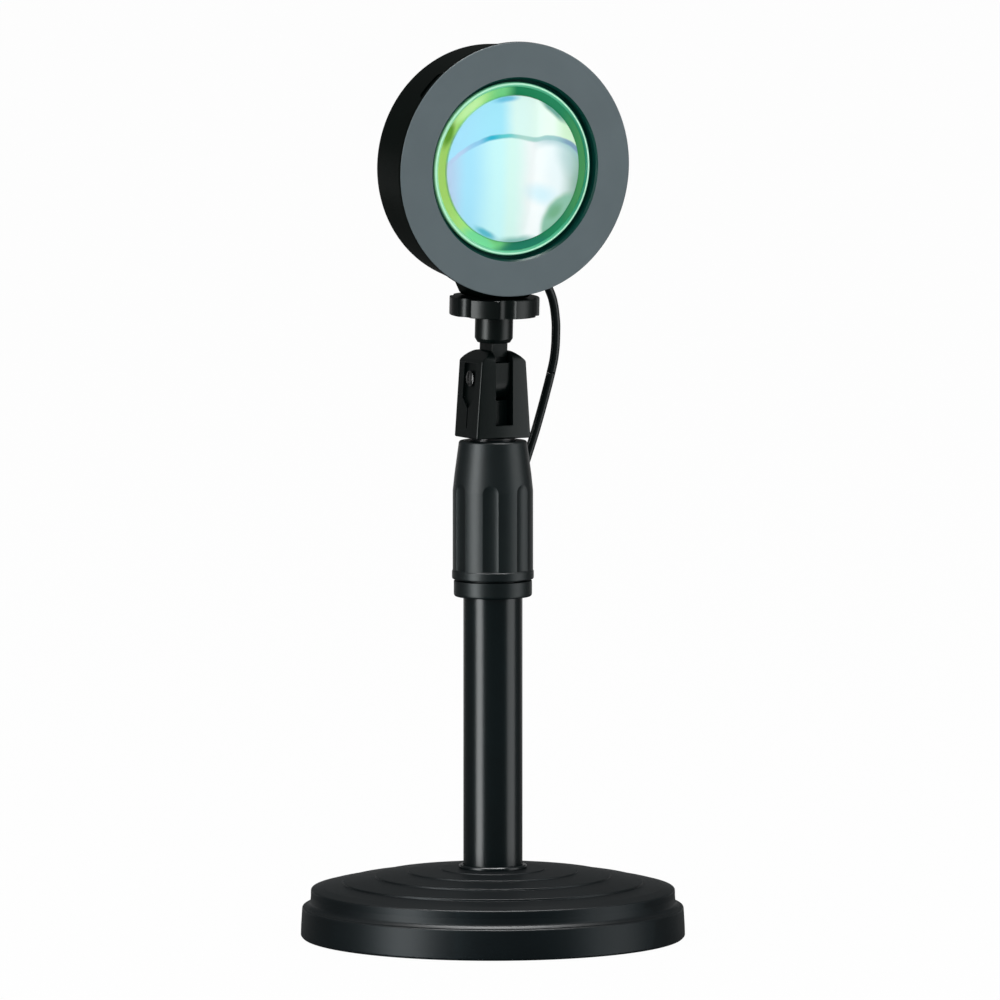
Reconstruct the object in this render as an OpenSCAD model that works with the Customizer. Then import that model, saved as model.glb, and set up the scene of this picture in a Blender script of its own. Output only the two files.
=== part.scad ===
// Sunset projection lamp. A shallow lamp head with a coated lens turns on a threaded stud and
// tilts on a knuckle. A telescopic pole with a twist lock stands on a stepped, weighted base,
// and a thin lead runs from the head to an inline switch and a USB plug.
// Millimetres. +Z is up, the lamp faces -Y, and the origin is the centre of the underside.

/* [Base] */
// Diameter of the base where it stands
base_d = 129.4; // [116:0.2:150]
// Height of the rim, up to its bright edge
rim_h = 10.4; // [8:0.2:12]
// Height of the edge where the stepped top begins
top_edge_z = 16.25; // [14.4:0.05:18]
// Rise of the stepped top from that edge to the pole
dome_rise = 7.1; // [6:0.1:10]
// Distance between the edges of two steps
step_pitch = 11; // [8:0.2:11.4]
// Height of the outermost step edge, and the others follow it
step_riser = 0.7; // [0.3:0.1:1]
// Wall of the base cover
cover_wall = 1.6; // [1.2:0.1:2.2]
// Thickness of the foam pad under the base
pad_t = 2; // [1.2:0.1:2.4]
// Distance of the foam pad's edge inside the base
pad_inset = 4.4; // [3.4:0.1:12]
// Thickness of the steel weight
weight_t = 5; // [3:0.1:6]
// Distance of the steel weight's edge inside the base
weight_inset = 7.4; // [6.8:0.1:20]

/* [Pole] */
// Outer diameter of the lower tube
tube_d = 19.9; // [18:0.1:20.5]
// Wall of both tubes
tube_wall = 1; // [0.8:0.1:1.1]
// Outer diameter of the sliding upper tube
riser_d = 15; // [14:0.1:15.2]
// Length of bare lower tube between the base and the twist lock
bare_tube_l = 91.75; // [80:0.05:120]
// Length of the lower tube inside the twist lock
tube_in_lock = 15.2; // [14:0.1:16]
// Length of the plug in the foot of the lower tube
foot_plug_l = 9.5; // [8:0.5:12]
// Length of the sliding bush at the foot of the upper tube
glide_l = 10; // [8:0.5:14]

/* [Twist lock] */
// Radius of the fixed collar under the grip
collar_r = 13.15; // [12.8:0.05:14]
// Height of the fixed collar
collar_h = 5.45; // [4:0.05:7]
// Radius of the bead at the foot of the grip
bead_r = 13.75; // [13.3:0.05:15]
// Height of that bead
bead_h = 2.85; // [1.8:0.05:3.5]
// Radius of the fluted barrel of the grip
grip_r = 13.5; // [13.2:0.1:14]
// Height of the fluted barrel above the bead
barrel_h = 26.9; // [26:0.1:36]
// Height of the cone above the barrel
cone_h = 16.8; // [15:0.2:22]
// Radius of the grip at its top
grip_top_r = 11.4; // [10.6:0.1:12.4]
// Number of flutes round the grip
flute_count = 7; // [5:1:9]
// Depth of a flute
flute_depth = 0.7; // [0.4:0.05:0.8]
// Width of a flute
flute_w = 6.6; // [5:0.1:7.4]

/* [Tilt head] */
// Gap of bare upper tube between the grip and the tilt housing
neck_h = 1.1; // [0.8:0.1:8]
// Height of the tilt housing
housing_h = 29.7; // [28:0.1:32]
// Width of the tilt housing at its foot
housing_w = 20.4; // [19.4:0.1:24]
// Width of the tilt housing at its shoulders
housing_top_w = 16.8; // [16.4:0.1:18]
// Depth of the tilt housing, front to back
housing_d = 17.5; // [17.2:0.1:20]
// Height of the tilt axis above the foot of the housing
pivot_h = 20; // [18.7:0.1:20.6]
// Radius of the round end of the knuckle
knuckle_r = 7.1; // [6.6:0.05:7.2]
// Thickness of the knuckle
knuckle_t = 5.9; // [5:0.1:6.4]
// Clearance at each side of the knuckle
knuckle_gap = 0.25; // [0.15:0.05:0.35]
// Diameter of the pivot screw
pivot_d = 3; // [2.6:0.1:3.6]
// Radius of the post above the knuckle
post_r = 6.4; // [6.2:0.1:7]
// Diameter of the threaded stud
stud_d = 6.35; // [5.6:0.05:6.8]
// Radius of the scalloped lock wheel
wheel_r = 15.1; // [14:0.1:17]
// Thickness of the lock wheel
wheel_t = 6.2; // [4:0.1:7.4]
// Number of scallops in the lock wheel
scallop_count = 6; // [5:1:8]

/* [Lamp head] */
// Forward tilt of the lamp head as it stands
head_tilt = 2.7; // [0:0.1:10]
// Diameter of the front bezel
bezel_d = 85.3; // [84:0.1:92]
// Thickness of the bezel at its edge
bezel_t = 1.7; // [1.4:0.1:2.4]
// Diameter of the window in the bezel
window_d = 60.6; // [60:0.2:63]
// Depth of the head, front to back
head_depth = 25.1; // [24.8:0.1:29]
// Gap between the lock wheel and the bezel above it
bezel_gap = 1.25; // [0.3:0.05:3]
// Distance of the bezel's face in front of the stud
head_front = 13.6; // [13.3:0.1:14.4]
// Radius taken off the shell from the seam to the back
shell_taper = 2.2; // [1:0.1:3]
// Wall of the head shell
shell_wall = 1.8; // [1.4:0.1:2]
// Depth of the lens rim behind the face
lens_depth = 4.5; // [4:0.1:5]
// Height of the lens dome
dome_h = 3; // [1.5:0.1:3.6]
// Number of cooling slots in the back
vent_count = 7; // [5:2:9]

/* [Lead] */
// Diameter of the lead
lead_d = 3; // [2.6:0.1:3.4]
// Distance between two turns of the coil
coil_pitch = 3.5; // [3.5:0.05:3.9]
// Radius of the outermost turn of the coil
coil_r = 24; // [23:0.2:26]
// Turns wound inwards, and again outwards on top
coil_turns = 3.75; // [2.75:1:3.75]

/* [Hidden] */
$fn = 64;
eps = 0.02;
fit = 0.05;       // running clearance, on the radius
seat = 0.1;       // gap between faces that stand on each other
loose = 0.3;      // clearance between pieces that only pass each other

// ---- base heights
cover_z = 0.1;                                 // the cover's lip clears the table
base_r = base_d / 2;
top_r = base_r - 3.4;                          // radius of the stepped top
pad_r = base_r - pad_inset;
weight_r = base_r - weight_inset;
foot_z = top_edge_z + dome_rise;               // where the pole stands
boss_r = 9.5;
cove_h = top_edge_z - rim_h;                   // between the rim and the stepped top
pad_bore = 12;
weight_top = pad_t + weight_t;
step_count = 4;
function step_r(k) = top_r - 10.7 - k * step_pitch;              // radius of step edge k
function step_rise(k) = step_riser * (1 - 0.2 * k);
function dome_z(r) = foot_z - dome_rise * pow(max(0, r - 11) / (top_r - 11), 1.9);

// ---- pole heights
tube_r = tube_d / 2;
tube_bore = tube_r - tube_wall;
lock_z = foot_z + bare_tube_l;
riser_r = riser_d / 2;
tube_top = lock_z + tube_in_lock;
foot_plug_z = foot_z + foot_plug_l;
riser_z = foot_plug_z + 1.5;
grip_z = lock_z + collar_h + 0.5;
barrel_z = grip_z + bead_h;
cone_z = barrel_z + barrel_h;
grip_top = cone_z + cone_h;
housing_z = grip_top + neck_h;
riser_top = housing_z - 0.6;

// ---- twist lock, inside
thread_r = tube_r + 1.2;                       // core of the collar's thread
thread_ridge = 0.4;
thread_pitch = 2.1;
grip_bore = thread_r + thread_ridge + 0.3;
collet_z = tube_top + seat;
collet_r = riser_r + 1.9;
collet_l = 21;
grip_throat = riser_r + loose;

// ---- tilt head heights
pivot_z = housing_z + pivot_h;
pivot_r = pivot_d / 2;
slot_w = knuckle_t + 2 * knuckle_gap;
plate_top = pivot_z + 5.8;
tongue_z = plate_top + 1.8;
tongue_top = tongue_z + 4.4;
post_z = tongue_top + 1.5;
post_top = post_z + 7.65;
wheel_z = post_top + seat;
wheel_top = wheel_z + wheel_t;
stud_r = stud_d / 2;
boss_z = wheel_top + seat;
side_lean = atan((housing_w - housing_top_w) / 2 / (housing_h - 5));
pivot_half_w = housing_w / 2 - pivot_h * tan(side_lean);

// ---- head, from the stud's axis along the lamp's own axis, forwards
seam = head_front - bezel_t;
bezel_r = bezel_d / 2;
head_z = boss_z + bezel_r + bezel_gap;
shell_r = bezel_r - 0.65;
rear = head_front - head_depth;
inner_rear = rear + shell_wall;
shell_bore = shell_r - shell_wall;
window_r = window_d / 2;
sleeve_r = window_r + 1.6;
lens_z = head_front - lens_depth;              // front of the lip over the lens
lens_r = window_r - 0.2;
lip_r = window_r - 1.5;
lens_t = 1.8;
lens_back = lens_z - 0.8 - lens_t;
gasket_t = 0.9;
ring_t = 1.4;
ring_back = lens_back - gasket_t - ring_t;
plate_t = 1.1;
plate_z = inner_rear + plate_t;
plate_r = shell_bore - shell_taper - 2;
pcb_t = 1.2;
pcb_z = plate_z + pcb_t;
chip_t = 0.9;
screw_head_h = 1;
mirror_z = ring_back - screw_head_h - 0.4;     // front of the reflector's flange
throat_h = 5.1;                                // narrow end of the reflector above the plate
throat_z = plate_z + throat_h;
throat_r = 10.5;
post_pcd = window_r - 0.6;
post_angles = [30, 150, 270];
gland_angle = -62;                             // from +X, about the lamp's axis
gland_back = 4;                                // behind the stud
gland_nose = 4.4;
gland_wall = shell_r - shell_taper * (seam + gland_back) / (seam - rear);   // shell there
shell_lean = atan(shell_taper / (seam - rear - 2));
screw_bite = 3.9;                              // depth of the reflector's screws in the posts
insert_r = 4.6;
insert_top = head_z - window_r - 5;

// ---- lead: points as [across, behind, up], with the whole route turned about the pole
lead_r = lead_d / 2;
lead_yaw = 26.6;
head_route = [[17.53, 12.05, 220.69], [18.31, 12.79, 218.77], [19.09, 13.52, 216.85],
              [19.95, 14.4, 214.5], [20.6, 15.15, 211.5], [20.95, 15.65, 208.7],
              [21.2, 16.05, 205.8], [21.2, 16.4, 202.8], [21.05, 16.8, 198.3],
              [20.5, 17.3, 193.5], [19.6, 17.6, 189.2]];
tilt_route = [[19.5, 17.7, 188.8], [18.95, 17.8, 185.9], [17.35, 18, 180.3], [16, 18.1, 175.3],
              [15.1, 18.1, 172.1], [14.15, 18.1, 168.8], [12.1, 18, 162.3], [9.9, 17.9, 155.5]];
neck_route = [[9.8, 17.9, 155.1], [7.85, 17.8, 149.3], [6, 17.6, 143.3], [4.4, 17.3, 136.8],
              [3.2, 17, 130.3], [2.5, 16.8, 124.3], [1.9, 16.7, 113.3], [1.7, 16.7, 110.2]];
drop_route = [[1.7, 16.7, 109.8], [1.5, 16.6, 105], [1.2, 16.5, 96],
              [1, 16.5, 87], [0.9, 16.5, 78], [0.8, 16.5, 69], [0.6, 16.5, 60],
              [0.4, 16.5, 51], [0.2, 16.5, 43], [0, 16.7, 37], [0, 18.3, 33.05],
              [0, 21.4, 28.95], [0, 25.4, 26.15], [0, 30, 24.95], [0, 35, 24.25],
              [0, 40, 23.55], [0, 45, 22.75], [0, 50, 21.85], [0, 54, 20.95], [0, 58, 19.65],
              [0, 62.2, 17.4], [0, 65.3, 14.1], [0, 67.8, 9.8], [0, 70.5, 5.9],
              [0, 74.2, 3.2], [0, 78.6, 2.1], [0, 83, 2.1], [0, 87, 2.1]];
// heights in the routes, and where the pieces beside them stand
landmarks = [[0, 0], [23.35, foot_z], [115.1, lock_z], [168.7, housing_z], [188.7, pivot_z],
             [216.25, boss_z], [260.15, head_z]];
function along_pole(route) = [for (p = route) [p[0], p[1], lookup(p[2], landmarks)]];
coil_back = 90;                                // where the coil's outer turn begins
coil_low = 2.1;                                // height of its lower layer
coil_high = coil_low + coil_pitch;
link_route = [[0, 93.02, 5.6], [0, 95, 5.6], [0.5, 97, 5.6], [1.9, 99.4, 5.4], [4.2, 101.6, 4.9],
              [7.2, 103, 4.2], [10, 103.5, 3.8], [12.45, 103.5, 3.8]];
switch_mid = [28.5, 103.5];                    // across and behind
switch_l = 26;
switch_nose_l = 3;
switch_w = 12.6;
switch_h = 7.5;
lead_h = 3.8;                                  // height of the lead in the switch
button_travel = 1;
tail_route = [[44.55, 103.5, 3.8], [47, 103.5, 3.8], [50.7, 102.9, 3.3], [53.9, 101, 2.6],
              [56.3, 98.1, 2], [57.6, 94.6, 1.8], [57.6, 90.9, 1.8], [56.3, 87.4, 2],
              [53.9, 84.5, 2.7], [50.7, 82.6, 3.5], [47, 82, 4], [44.55, 82, 4]];
plug_axis = [82, 4];                           // behind and up
plug_rear = 44.5;                              // across, where the lead ends
plug_nose_l = 4.5;
plug_l = 20;
plug_w = 15.6;
plug_h = 7.6;
shell_l = 12;
shell_w = 12;
shell_h = 4.5;

// =============================================================== shared shapes

// A child drawn upright, leaned forward about the pivot with the stem and the head
module on_stem() {
    translate([0, 0, pivot_z]) rotate([head_tilt, 0, 0]) translate([0, 0, -pivot_z]) children();
}

// A child drawn along the upright lamp's own axis: local +Z forwards, +Y up
module on_face_axis() { translate([0, 0, head_z]) rotate([90, 0, 0]) children(); }

module on_head_axis() { on_stem() on_face_axis() children(); }

// A child drawn along the lead's own directions: +X across, +Y behind
module on_lead_axes() { rotate([0, 0, -lead_yaw]) children(); }

module ring(r_out, r_in, h) {
    difference() {
        cylinder(r = r_out, h = h);
        translate([0, 0, -1]) cylinder(r = r_in, h = h + 2);
    }
}

module rounded_rect(w, d, r) {
    square([w - 2 * r, d], center = true);
    square([w, d - 2 * r], center = true);
    for (x = [-1, 1], y = [-1, 1]) translate([x * (w / 2 - r), y * (d / 2 - r)]) circle(r);
}

// Points of an arc in a profile, from angle a to angle b
function arc(cx, cy, r, a, b, n = 6) =
    [for (i = [0:n]) [cx + r * cos(a + (b - a) * i / n), cy + r * sin(a + (b - a) * i / n)]];

// A pan-head screw with a cross slot, its head's seat at z = 0 and its shank pointing down
module pan_screw(head_r, head_h, shank_r, shank_l) {
    difference() {
        union() {
            rotate_extrude()
                polygon([[0, 0], [head_r, 0], [head_r, head_h * 0.45],
                         [head_r * 0.72, head_h * 0.9], [0, head_h]]);
            translate([0, 0, -shank_l]) cylinder(r = shank_r, h = shank_l + eps);
        }
        for (a = [0, 90]) rotate(a)
            translate([-head_r * 0.55, -head_r * 0.11, head_h * 0.55])
                cube([head_r * 1.1, head_r * 0.22, head_h]);
    }
}

// ---- a round tube swept along points
function unit(v) = v / norm(v);
function side_of(t, n) = unit(n - t * (n * t));
function tangent(p, i) = unit(p[min(i + 1, len(p) - 1)] - p[max(i - 1, 0)]);
function normals(p, i = 0, n = undef) =
    i == len(p) ? [] :
    let (t = tangent(p, i),
         seed = abs(t[2]) > 0.8 ? [1, 0, 0] : [0, 0, 1],
         m = side_of(t, is_undef(n) ? seed : n))
    concat([m], normals(p, i + 1, m));

module tube_along(p, r, sides) {
    frame = normals(p);
    points = [for (i = [0:len(p) - 1]) let (t = tangent(p, i), b = cross(t, frame[i]))
              for (k = [0:sides - 1]) let (a = 360 * (k + 0.5) / sides)
              p[i] + r * (cos(a) * frame[i] + sin(a) * b)];
    last = (len(p) - 1) * sides;
    walls = [for (i = [0:len(p) - 2], k = [0:sides - 1])
             let (a = i * sides + k, b = i * sides + (k + 1) % sides)
             each [[a, a + sides, b], [b, a + sides, b + sides]]];
    caps = [for (k = [1:sides - 2]) each [[0, k, k + 1], [last, last + k + 1, last + k]]];
    polyhedron(points, concat(walls, caps), convexity = 8);
}

// The coil's centreline: in along the table for coil_turns, up a layer in the half turn where
// the spiral reverses, and out again on top. It starts and ends straight for one diameter.
coil_rings = 24;
half = 0.5;
function coil_radius(t) =
    let (back = abs(t - coil_turns - half / 2) - half / 2)
    coil_r - coil_pitch * (coil_turns - back);
function coil_height(t) =
    let (s = min(1, max(0, (t - coil_turns) / half)))
    coil_low + (coil_high - coil_low) * s * s * (3 - 2 * s);
function coil_point(t) =
    [-coil_r + coil_radius(t) * cos(360 * t), coil_back + coil_radius(t) * sin(360 * t),
     coil_height(t)];
coil_length = 2 * coil_turns + half;
coil_line = concat(
    [[0, coil_back - lead_d, coil_low]],
    [for (i = [0:coil_length * coil_rings]) coil_point(i / coil_rings)],
    [[0, coil_back + lead_d, coil_high]]);

// The least distance between two stretches of the coil that lie half a turn or more apart
coil_gap = min([for (i = [0:len(coil_line) - 1], j = [i + coil_rings / 2:len(coil_line) - 1])
                norm(coil_line[i] - coil_line[j])]) - lead_d;
echo(least_gap_in_coil = coil_gap);

// =============================================================== base

// Outline of the base, from the lip up over the rim, cove, edge and steps to the pole
function base_outline() = concat(
    [[base_r, cover_z], [base_r - 0.1, 3], [base_r - 0.45, rim_h - 1.2]],
    arc(base_r - 1.25, rim_h - 0.8, 0.8, 0, 90, 4),
    [[base_r - 1.7, rim_h + 0.15 * cove_h], [base_r - 2.4, rim_h + 0.34 * cove_h],
     [top_r + 0.2, rim_h + 0.48 * cove_h], [top_r + 0.05, rim_h + 0.65 * cove_h]],
    arc(top_r - 0.6, top_edge_z - 0.6, 0.6, 0, 75, 4),
    [for (k = [0:step_count - 1])
     each [[step_r(k), dome_z(step_r(k)) - step_rise(k)], [step_r(k), dome_z(step_r(k)) - 0.12],
           [step_r(k) - 0.12, dome_z(step_r(k))]]],
    [[tube_r, foot_z]]);

module base_cover() color("#17191b") {
    ceiling = foot_z - cover_wall;
    difference() {
        rotate_extrude($fn = 128)
            polygon(concat(base_outline(), [
                [0, foot_z], [0, weight_top], [boss_r, weight_top], [boss_r, ceiling - 0.8],
                [boss_r + 2, ceiling - 0.4],
                [step_r(1), dome_z(step_r(1)) - step_rise(1) - cover_wall],
                [step_r(0), dome_z(step_r(0)) - step_rise(0) - cover_wall],
                [top_r - cover_wall, top_edge_z - 1.9],
                [base_r - cover_wall - 0.3, rim_h - 0.6], [base_r - cover_wall, cover_z]]));
        translate([0, 0, -1]) cylinder(r = 4.2, h = foot_z + 2);
    }
    // stiffening ring that stands on the weight
    translate([0, 0, weight_top]) ring(42, 40.6, dome_z(42) - step_rise(0) - weight_top - 0.8);
}

module base_weight() color("#5c6064") translate([0, 0, pad_t]) difference() {
    rotate_extrude($fn = 128) polygon([[4.2, 0], [weight_r - 0.6, 0], [weight_r, 0.6],
                                       [weight_r, weight_t - 0.6], [weight_r - 0.6, weight_t],
                                       [4.2, weight_t]]);
    translate([0, 0, -eps]) cylinder(r1 = 8.2, r2 = 4.2, h = 4);
}

module base_pad() color("#26282a") ring(pad_r, pad_bore, pad_t);

// Countersunk screw through the weight and the cover into the foot of the pole
module base_screw() color("#8b8f92") difference() {
    head = 8;
    shank = 3.9;
    sink = 4;                                   // height of the countersunk head
    tip_z = foot_plug_z - 1.5;
    rotate_extrude()
        polygon([[0, pad_t + 0.1], [head, pad_t + 0.1], [shank, pad_t + sink], [shank, tip_z - 1],
                 [shank - 0.7, tip_z], [0, tip_z]]);
    translate([0, 0, pad_t - eps]) cylinder(r = 2.9, h = 2.6, $fn = 6);
}

module foot_ring() color("#1b1d1f") translate([0, 0, foot_z]) rotate_extrude($fn = 96)
    polygon([[tube_r + fit, 0], [tube_r + 1.5, 0], [tube_r + 1.5, 0.8], [tube_r + 1.1, 1.2],
             [tube_r + fit, 1.2]]);

// =============================================================== pole

module tube_foot() color("#8b8f92") translate([0, 0, foot_z]) difference() {
    union() {
        cylinder(r = tube_bore - fit, h = foot_plug_l);
    }
    translate([0, 0, -1]) cylinder(r = 3.95, h = foot_plug_l + 2);
}

module lower_tube() color("#141618") translate([0, 0, foot_z])
    ring(tube_r, tube_bore, tube_top - foot_z, $fn = 96);

// Fixed collar of the twist lock, with the male thread that the grip runs on
module lock_collar() color("#1a1c1e") {
    translate([0, 0, lock_z]) rotate_extrude($fn = 96)
        polygon(concat([[tube_r + fit, 0]], arc(collar_r - 1, 1, 1, -90, 0, 4),
                       [[collar_r, collar_h - 0.3], [collar_r - 0.3, collar_h],
                        [thread_r, collar_h], [thread_r, tube_in_lock - 0.6],
                        [thread_r - 0.6, tube_in_lock], [tube_r + fit, tube_in_lock]]));
    for (k = [0:3]) translate([0, 0, lock_z + collar_h + 1.8 + thread_pitch * k])
        rotate_extrude() polygon([[thread_r - 0.2, -0.8], [thread_r + thread_ridge, -0.2],
                                  [thread_r + thread_ridge, 0.2], [thread_r - 0.2, 0.8]]);
}

// Slit collet that the grip's cone squeezes on to the upper tube
module lock_collet() color("#c9cbc6") translate([0, 0, collet_z]) difference() {
    rotate_extrude() polygon([[riser_r + fit, 0], [tube_r + 0.9, 0], [tube_r + 0.9, 1.8],
                              [collet_r, 1.8], [collet_r, collet_l - 7],
                              [riser_r + 0.9, collet_l], [riser_r + fit, collet_l]]);
    for (a = [45, 135]) rotate(a)
        translate([-collet_r - 1, -0.6, 5]) cube([2 * collet_r + 2, 1.2, collet_l]);
}

// Outline of the grip, from its bead up the barrel and the cone
function grip_outline() = concat(
    arc(bead_r - 0.4, grip_z + 0.4, 0.4, -90, 0, 3), arc(bead_r - 0.4, barrel_z - 0.6, 0.4, 0, 70, 3),
    [[grip_r, barrel_z - 0.1], [grip_r, cone_z], [grip_r - 0.35, cone_z + cone_h * 0.3]],
    [[grip_top_r + 0.25, grip_top - 2]],
    arc(grip_top_r - 1, grip_top - 1, 1, 10, 90, 4));

module lock_grip() color("#1d2022") {
    cup_top = collet_z + 5;                     // end of the wide bore over the thread
    cone_foot = collet_z + collet_l - 7;
    difference() {
        rotate_extrude($fn = 128) polygon(concat(
            [[grip_bore, grip_z]], grip_outline(),
            [[grip_throat, grip_top], [grip_throat, collet_z + collet_l + 1],
             [riser_r + 0.9 + loose, collet_z + collet_l], [collet_r + loose, cone_foot],
             [collet_r + loose, cup_top + 1], [grip_bore, cup_top]]));
        for (k = [0:flute_count - 1]) rotate(240 + 360 * k / flute_count) flute();
    }
}

// One flute: a groove with a rounded foot that runs out where the cone leaves it
module flute() {
    groove_r = (pow(flute_w / 2, 2) + pow(flute_depth, 2)) / (2 * flute_depth);
    translate([grip_r - flute_depth + groove_r, 0, 0]) {
        translate([0, 0, barrel_z + 0.2]) cylinder(r = groove_r, h = barrel_h + 1);
        translate([0, 0, barrel_z + 0.2 + barrel_h + 1 - eps])
            cylinder(r1 = groove_r, r2 = groove_r - 1.6, h = 6);
    }
}

module upper_tube() color("#101214") translate([0, 0, riser_z])
    ring(riser_r, riser_r - tube_wall, riser_top - riser_z, $fn = 96);

module tube_glide() color("#c9cbc6") translate([0, 0, riser_z]) difference() {
    rotate_extrude() polygon([[riser_r + fit, 0], [tube_bore - fit - 0.3, 0],
                              [tube_bore - fit, 0.4], [tube_bore - fit, glide_l - 0.4],
                              [tube_bore - fit - 0.3, glide_l], [riser_r + fit, glide_l]]);
    translate([0, -0.7, -1]) cube([tube_r, 1.4, glide_l + 2]);
    for (z = [0.32, 0.68]) translate([0, 0, glide_l * z - 0.5])
        ring(tube_r, tube_bore - fit - 0.5, 1);
}

// Plug in the top of the upper tube, with the spigot that the tilt housing turns on
module tube_plug() color("#6f7377") difference() {
    spigot_r = 3;
    spigot_l = 8;                               // above the foot of the housing
    plug_in = 14;                               // inside the upper tube
    union() {
        translate([0, 0, riser_top - plug_in])
            cylinder(r = riser_r - tube_wall - fit, h = plug_in + eps);
        translate([0, 0, riser_top]) cylinder(r = riser_r, h = housing_z - riser_top - seat);
        translate([0, 0, riser_top]) cylinder(r = spigot_r, h = housing_z + spigot_l - riser_top);
    }
    translate([0, 0, housing_z + 4.5]) ring(spigot_r + 1, spigot_r - 0.6, 1.6);
}

// =============================================================== tilt head

// Front view of the housing: tapered sides, round shoulders, slightly domed top
module housing_front() {
    foot = housing_w / 2;
    shoulder = housing_top_w / 2;
    corner = 3.4;
    shoulder_z = housing_h - 5;
    polygon([[-foot, 1.4], [-foot + 1.4, 0], [foot - 1.4, 0], [foot, 1.4],
             [shoulder, shoulder_z], [shoulder - corner, shoulder_z + corner],
             [4, housing_h - 0.2], [-4, housing_h - 0.2], [corner - shoulder, shoulder_z + corner],
             [-shoulder, shoulder_z]]);
    for (s = [-1, 1]) {
        translate([s * (shoulder - corner), shoulder_z]) circle(corner);
        translate([s * (foot - 1.4), 1.4]) circle(1.4);
    }
}

// Side view of the housing: upright faces that round over into the top
module housing_side() {
    half_d = housing_d / 2;
    corner = 6.3;
    square_h = housing_h - corner - 0.4;
    intersection() {
        union() {
            translate([-half_d, 0]) square([housing_d, square_h]);
            for (s = [-1, 1]) translate([s * (half_d - corner), square_h]) circle(corner);
            translate([corner - half_d, 0]) square([housing_d - 2 * corner, housing_h]);
        }
        translate([0, housing_h - 24]) circle(24);
    }
}

// Cavity of the slot, seen from the side: round at the knuckle, open to the front and the top
module slot_side() {
    clear_r = knuckle_r + loose;
    translate([0, pivot_h]) circle(clear_r);
    translate([-housing_d, pivot_h - clear_r]) square([housing_d, housing_h]);
    translate([-housing_d, pivot_h]) square([housing_d + clear_r, housing_h]);
    slot_foot = 4.4;
    translate([-housing_d / 2 - 1, slot_foot]) square([5.6, pivot_h - slot_foot]);
}

// Shield-shaped recess round a pivot fastener, drawn as [depth, height] about the pivot
module shield() {
    polygon([[-4.3, 4.6], [-3.7, 5.2], [3.7, 5.2], [4.3, 4.6], [4.3, -6.6], [0, -10.3],
             [-4.3, -6.6]]);
}

module tilt_housing() color("#1b1e20") translate([0, 0, housing_z]) difference() {
    intersection() {
        rotate([90, 0, 0]) linear_extrude(housing_d, center = true) housing_front();
        rotate([90, 0, 90]) linear_extrude(housing_w + 1, center = true) housing_side();
    }
    rotate([90, 0, 90]) linear_extrude(slot_w, center = true) slot_side();
    // bore for the spigot
    translate([0, 0, -1]) cylinder(r = 3 + fit, h = 9.5);
    // pivot hole through both ears
    translate([0, 0, pivot_h]) rotate([0, 90, 0])
        cylinder(r = pivot_r + fit / 2, h = housing_w + 2, center = true);
    for (s = [-1, 1]) {
        // shield recess, square to the leaning side, and the groove under it
        translate([s * pivot_half_w, 0, pivot_h]) rotate([0, -s * side_lean, 0])
            rotate([90, 0, 90]) linear_extrude(1.8, center = true) shield();
        translate([s * (housing_w / 2 + 0.1), 0, 3.2]) rotate([0, -s * side_lean, 0])
            translate([-0.6, -0.35, 0]) cube([1.2, 0.7, pivot_h - 12.4]);
    }
}

// distance from the axis where the fasteners stand clear of the leaning recess floor
recess_x = pivot_half_w - 0.9 + 3.1 * tan(side_lean);

module pivot_screw() color("#777b7f") translate([-recess_x - 0.05, 0, pivot_z])
    rotate([0, -90, 0]) difference() {
        union() {
            rotate_extrude() polygon([[0, 0], [2.7, 0], [2.7, 0.5], [2.1, 0.95], [0, 1.05]]);
            translate([0, 0, -2 * recess_x - 2]) cylinder(r = pivot_r, h = 2 * recess_x + 2);
        }
        translate([-3, -0.35, 0.5]) cube([6, 0.7, 1]);
    }

module pivot_nut() color("#777b7f") translate([recess_x + 0.05, 0, pivot_z])
    rotate([0, 90, 0]) difference() {
        cylinder(r = 3.1, h = 1.6, $fn = 6);
        translate([0, 0, -1]) cylinder(r = pivot_r + eps, h = 4);
    }

// Knuckle, flat tongue and round post in one piece
module tilt_stem() color("#202325") on_stem() difference() {
    union() {
        translate([0, 0, pivot_z]) rotate([90, 0, 90]) linear_extrude(knuckle_t, center = true) {
            circle(knuckle_r);
            translate([-knuckle_r, 0]) square([2 * knuckle_r, plate_top - pivot_z]);
            translate([-3.8, 0]) square([7.6, tongue_z - pivot_z + eps]);
        }
        intersection() {
            translate([-knuckle_t / 2, -4.74, tongue_z]) cube([knuckle_t, 9.48, 20]);
            translate([0, 0, tongue_z]) cylinder(r = 5.6, h = tongue_top - tongue_z + eps);
        }
        translate([0, 0, tongue_top]) cylinder(r1 = 5.6, r2 = post_r, h = post_z - tongue_top);
        translate([0, 0, post_z]) cylinder(r = post_r, h = post_top - post_z);
    }
    translate([0, 0, pivot_z]) rotate([0, 90, 0])
        cylinder(r = pivot_r + fit, h = knuckle_t + 2, center = true);
    translate([0, 0, post_z + 1]) cylinder(r = stud_r, h = 20);
}

module stem_stud() color("#9a9ea2") on_stem() rotate_extrude()
    polygon([[0, post_z + 1.1], [stud_r, post_z + 1.1], [stud_r, insert_top - 1.2],
             [stud_r - 0.7, insert_top - 0.5], [0, insert_top - 0.5]]);

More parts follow.
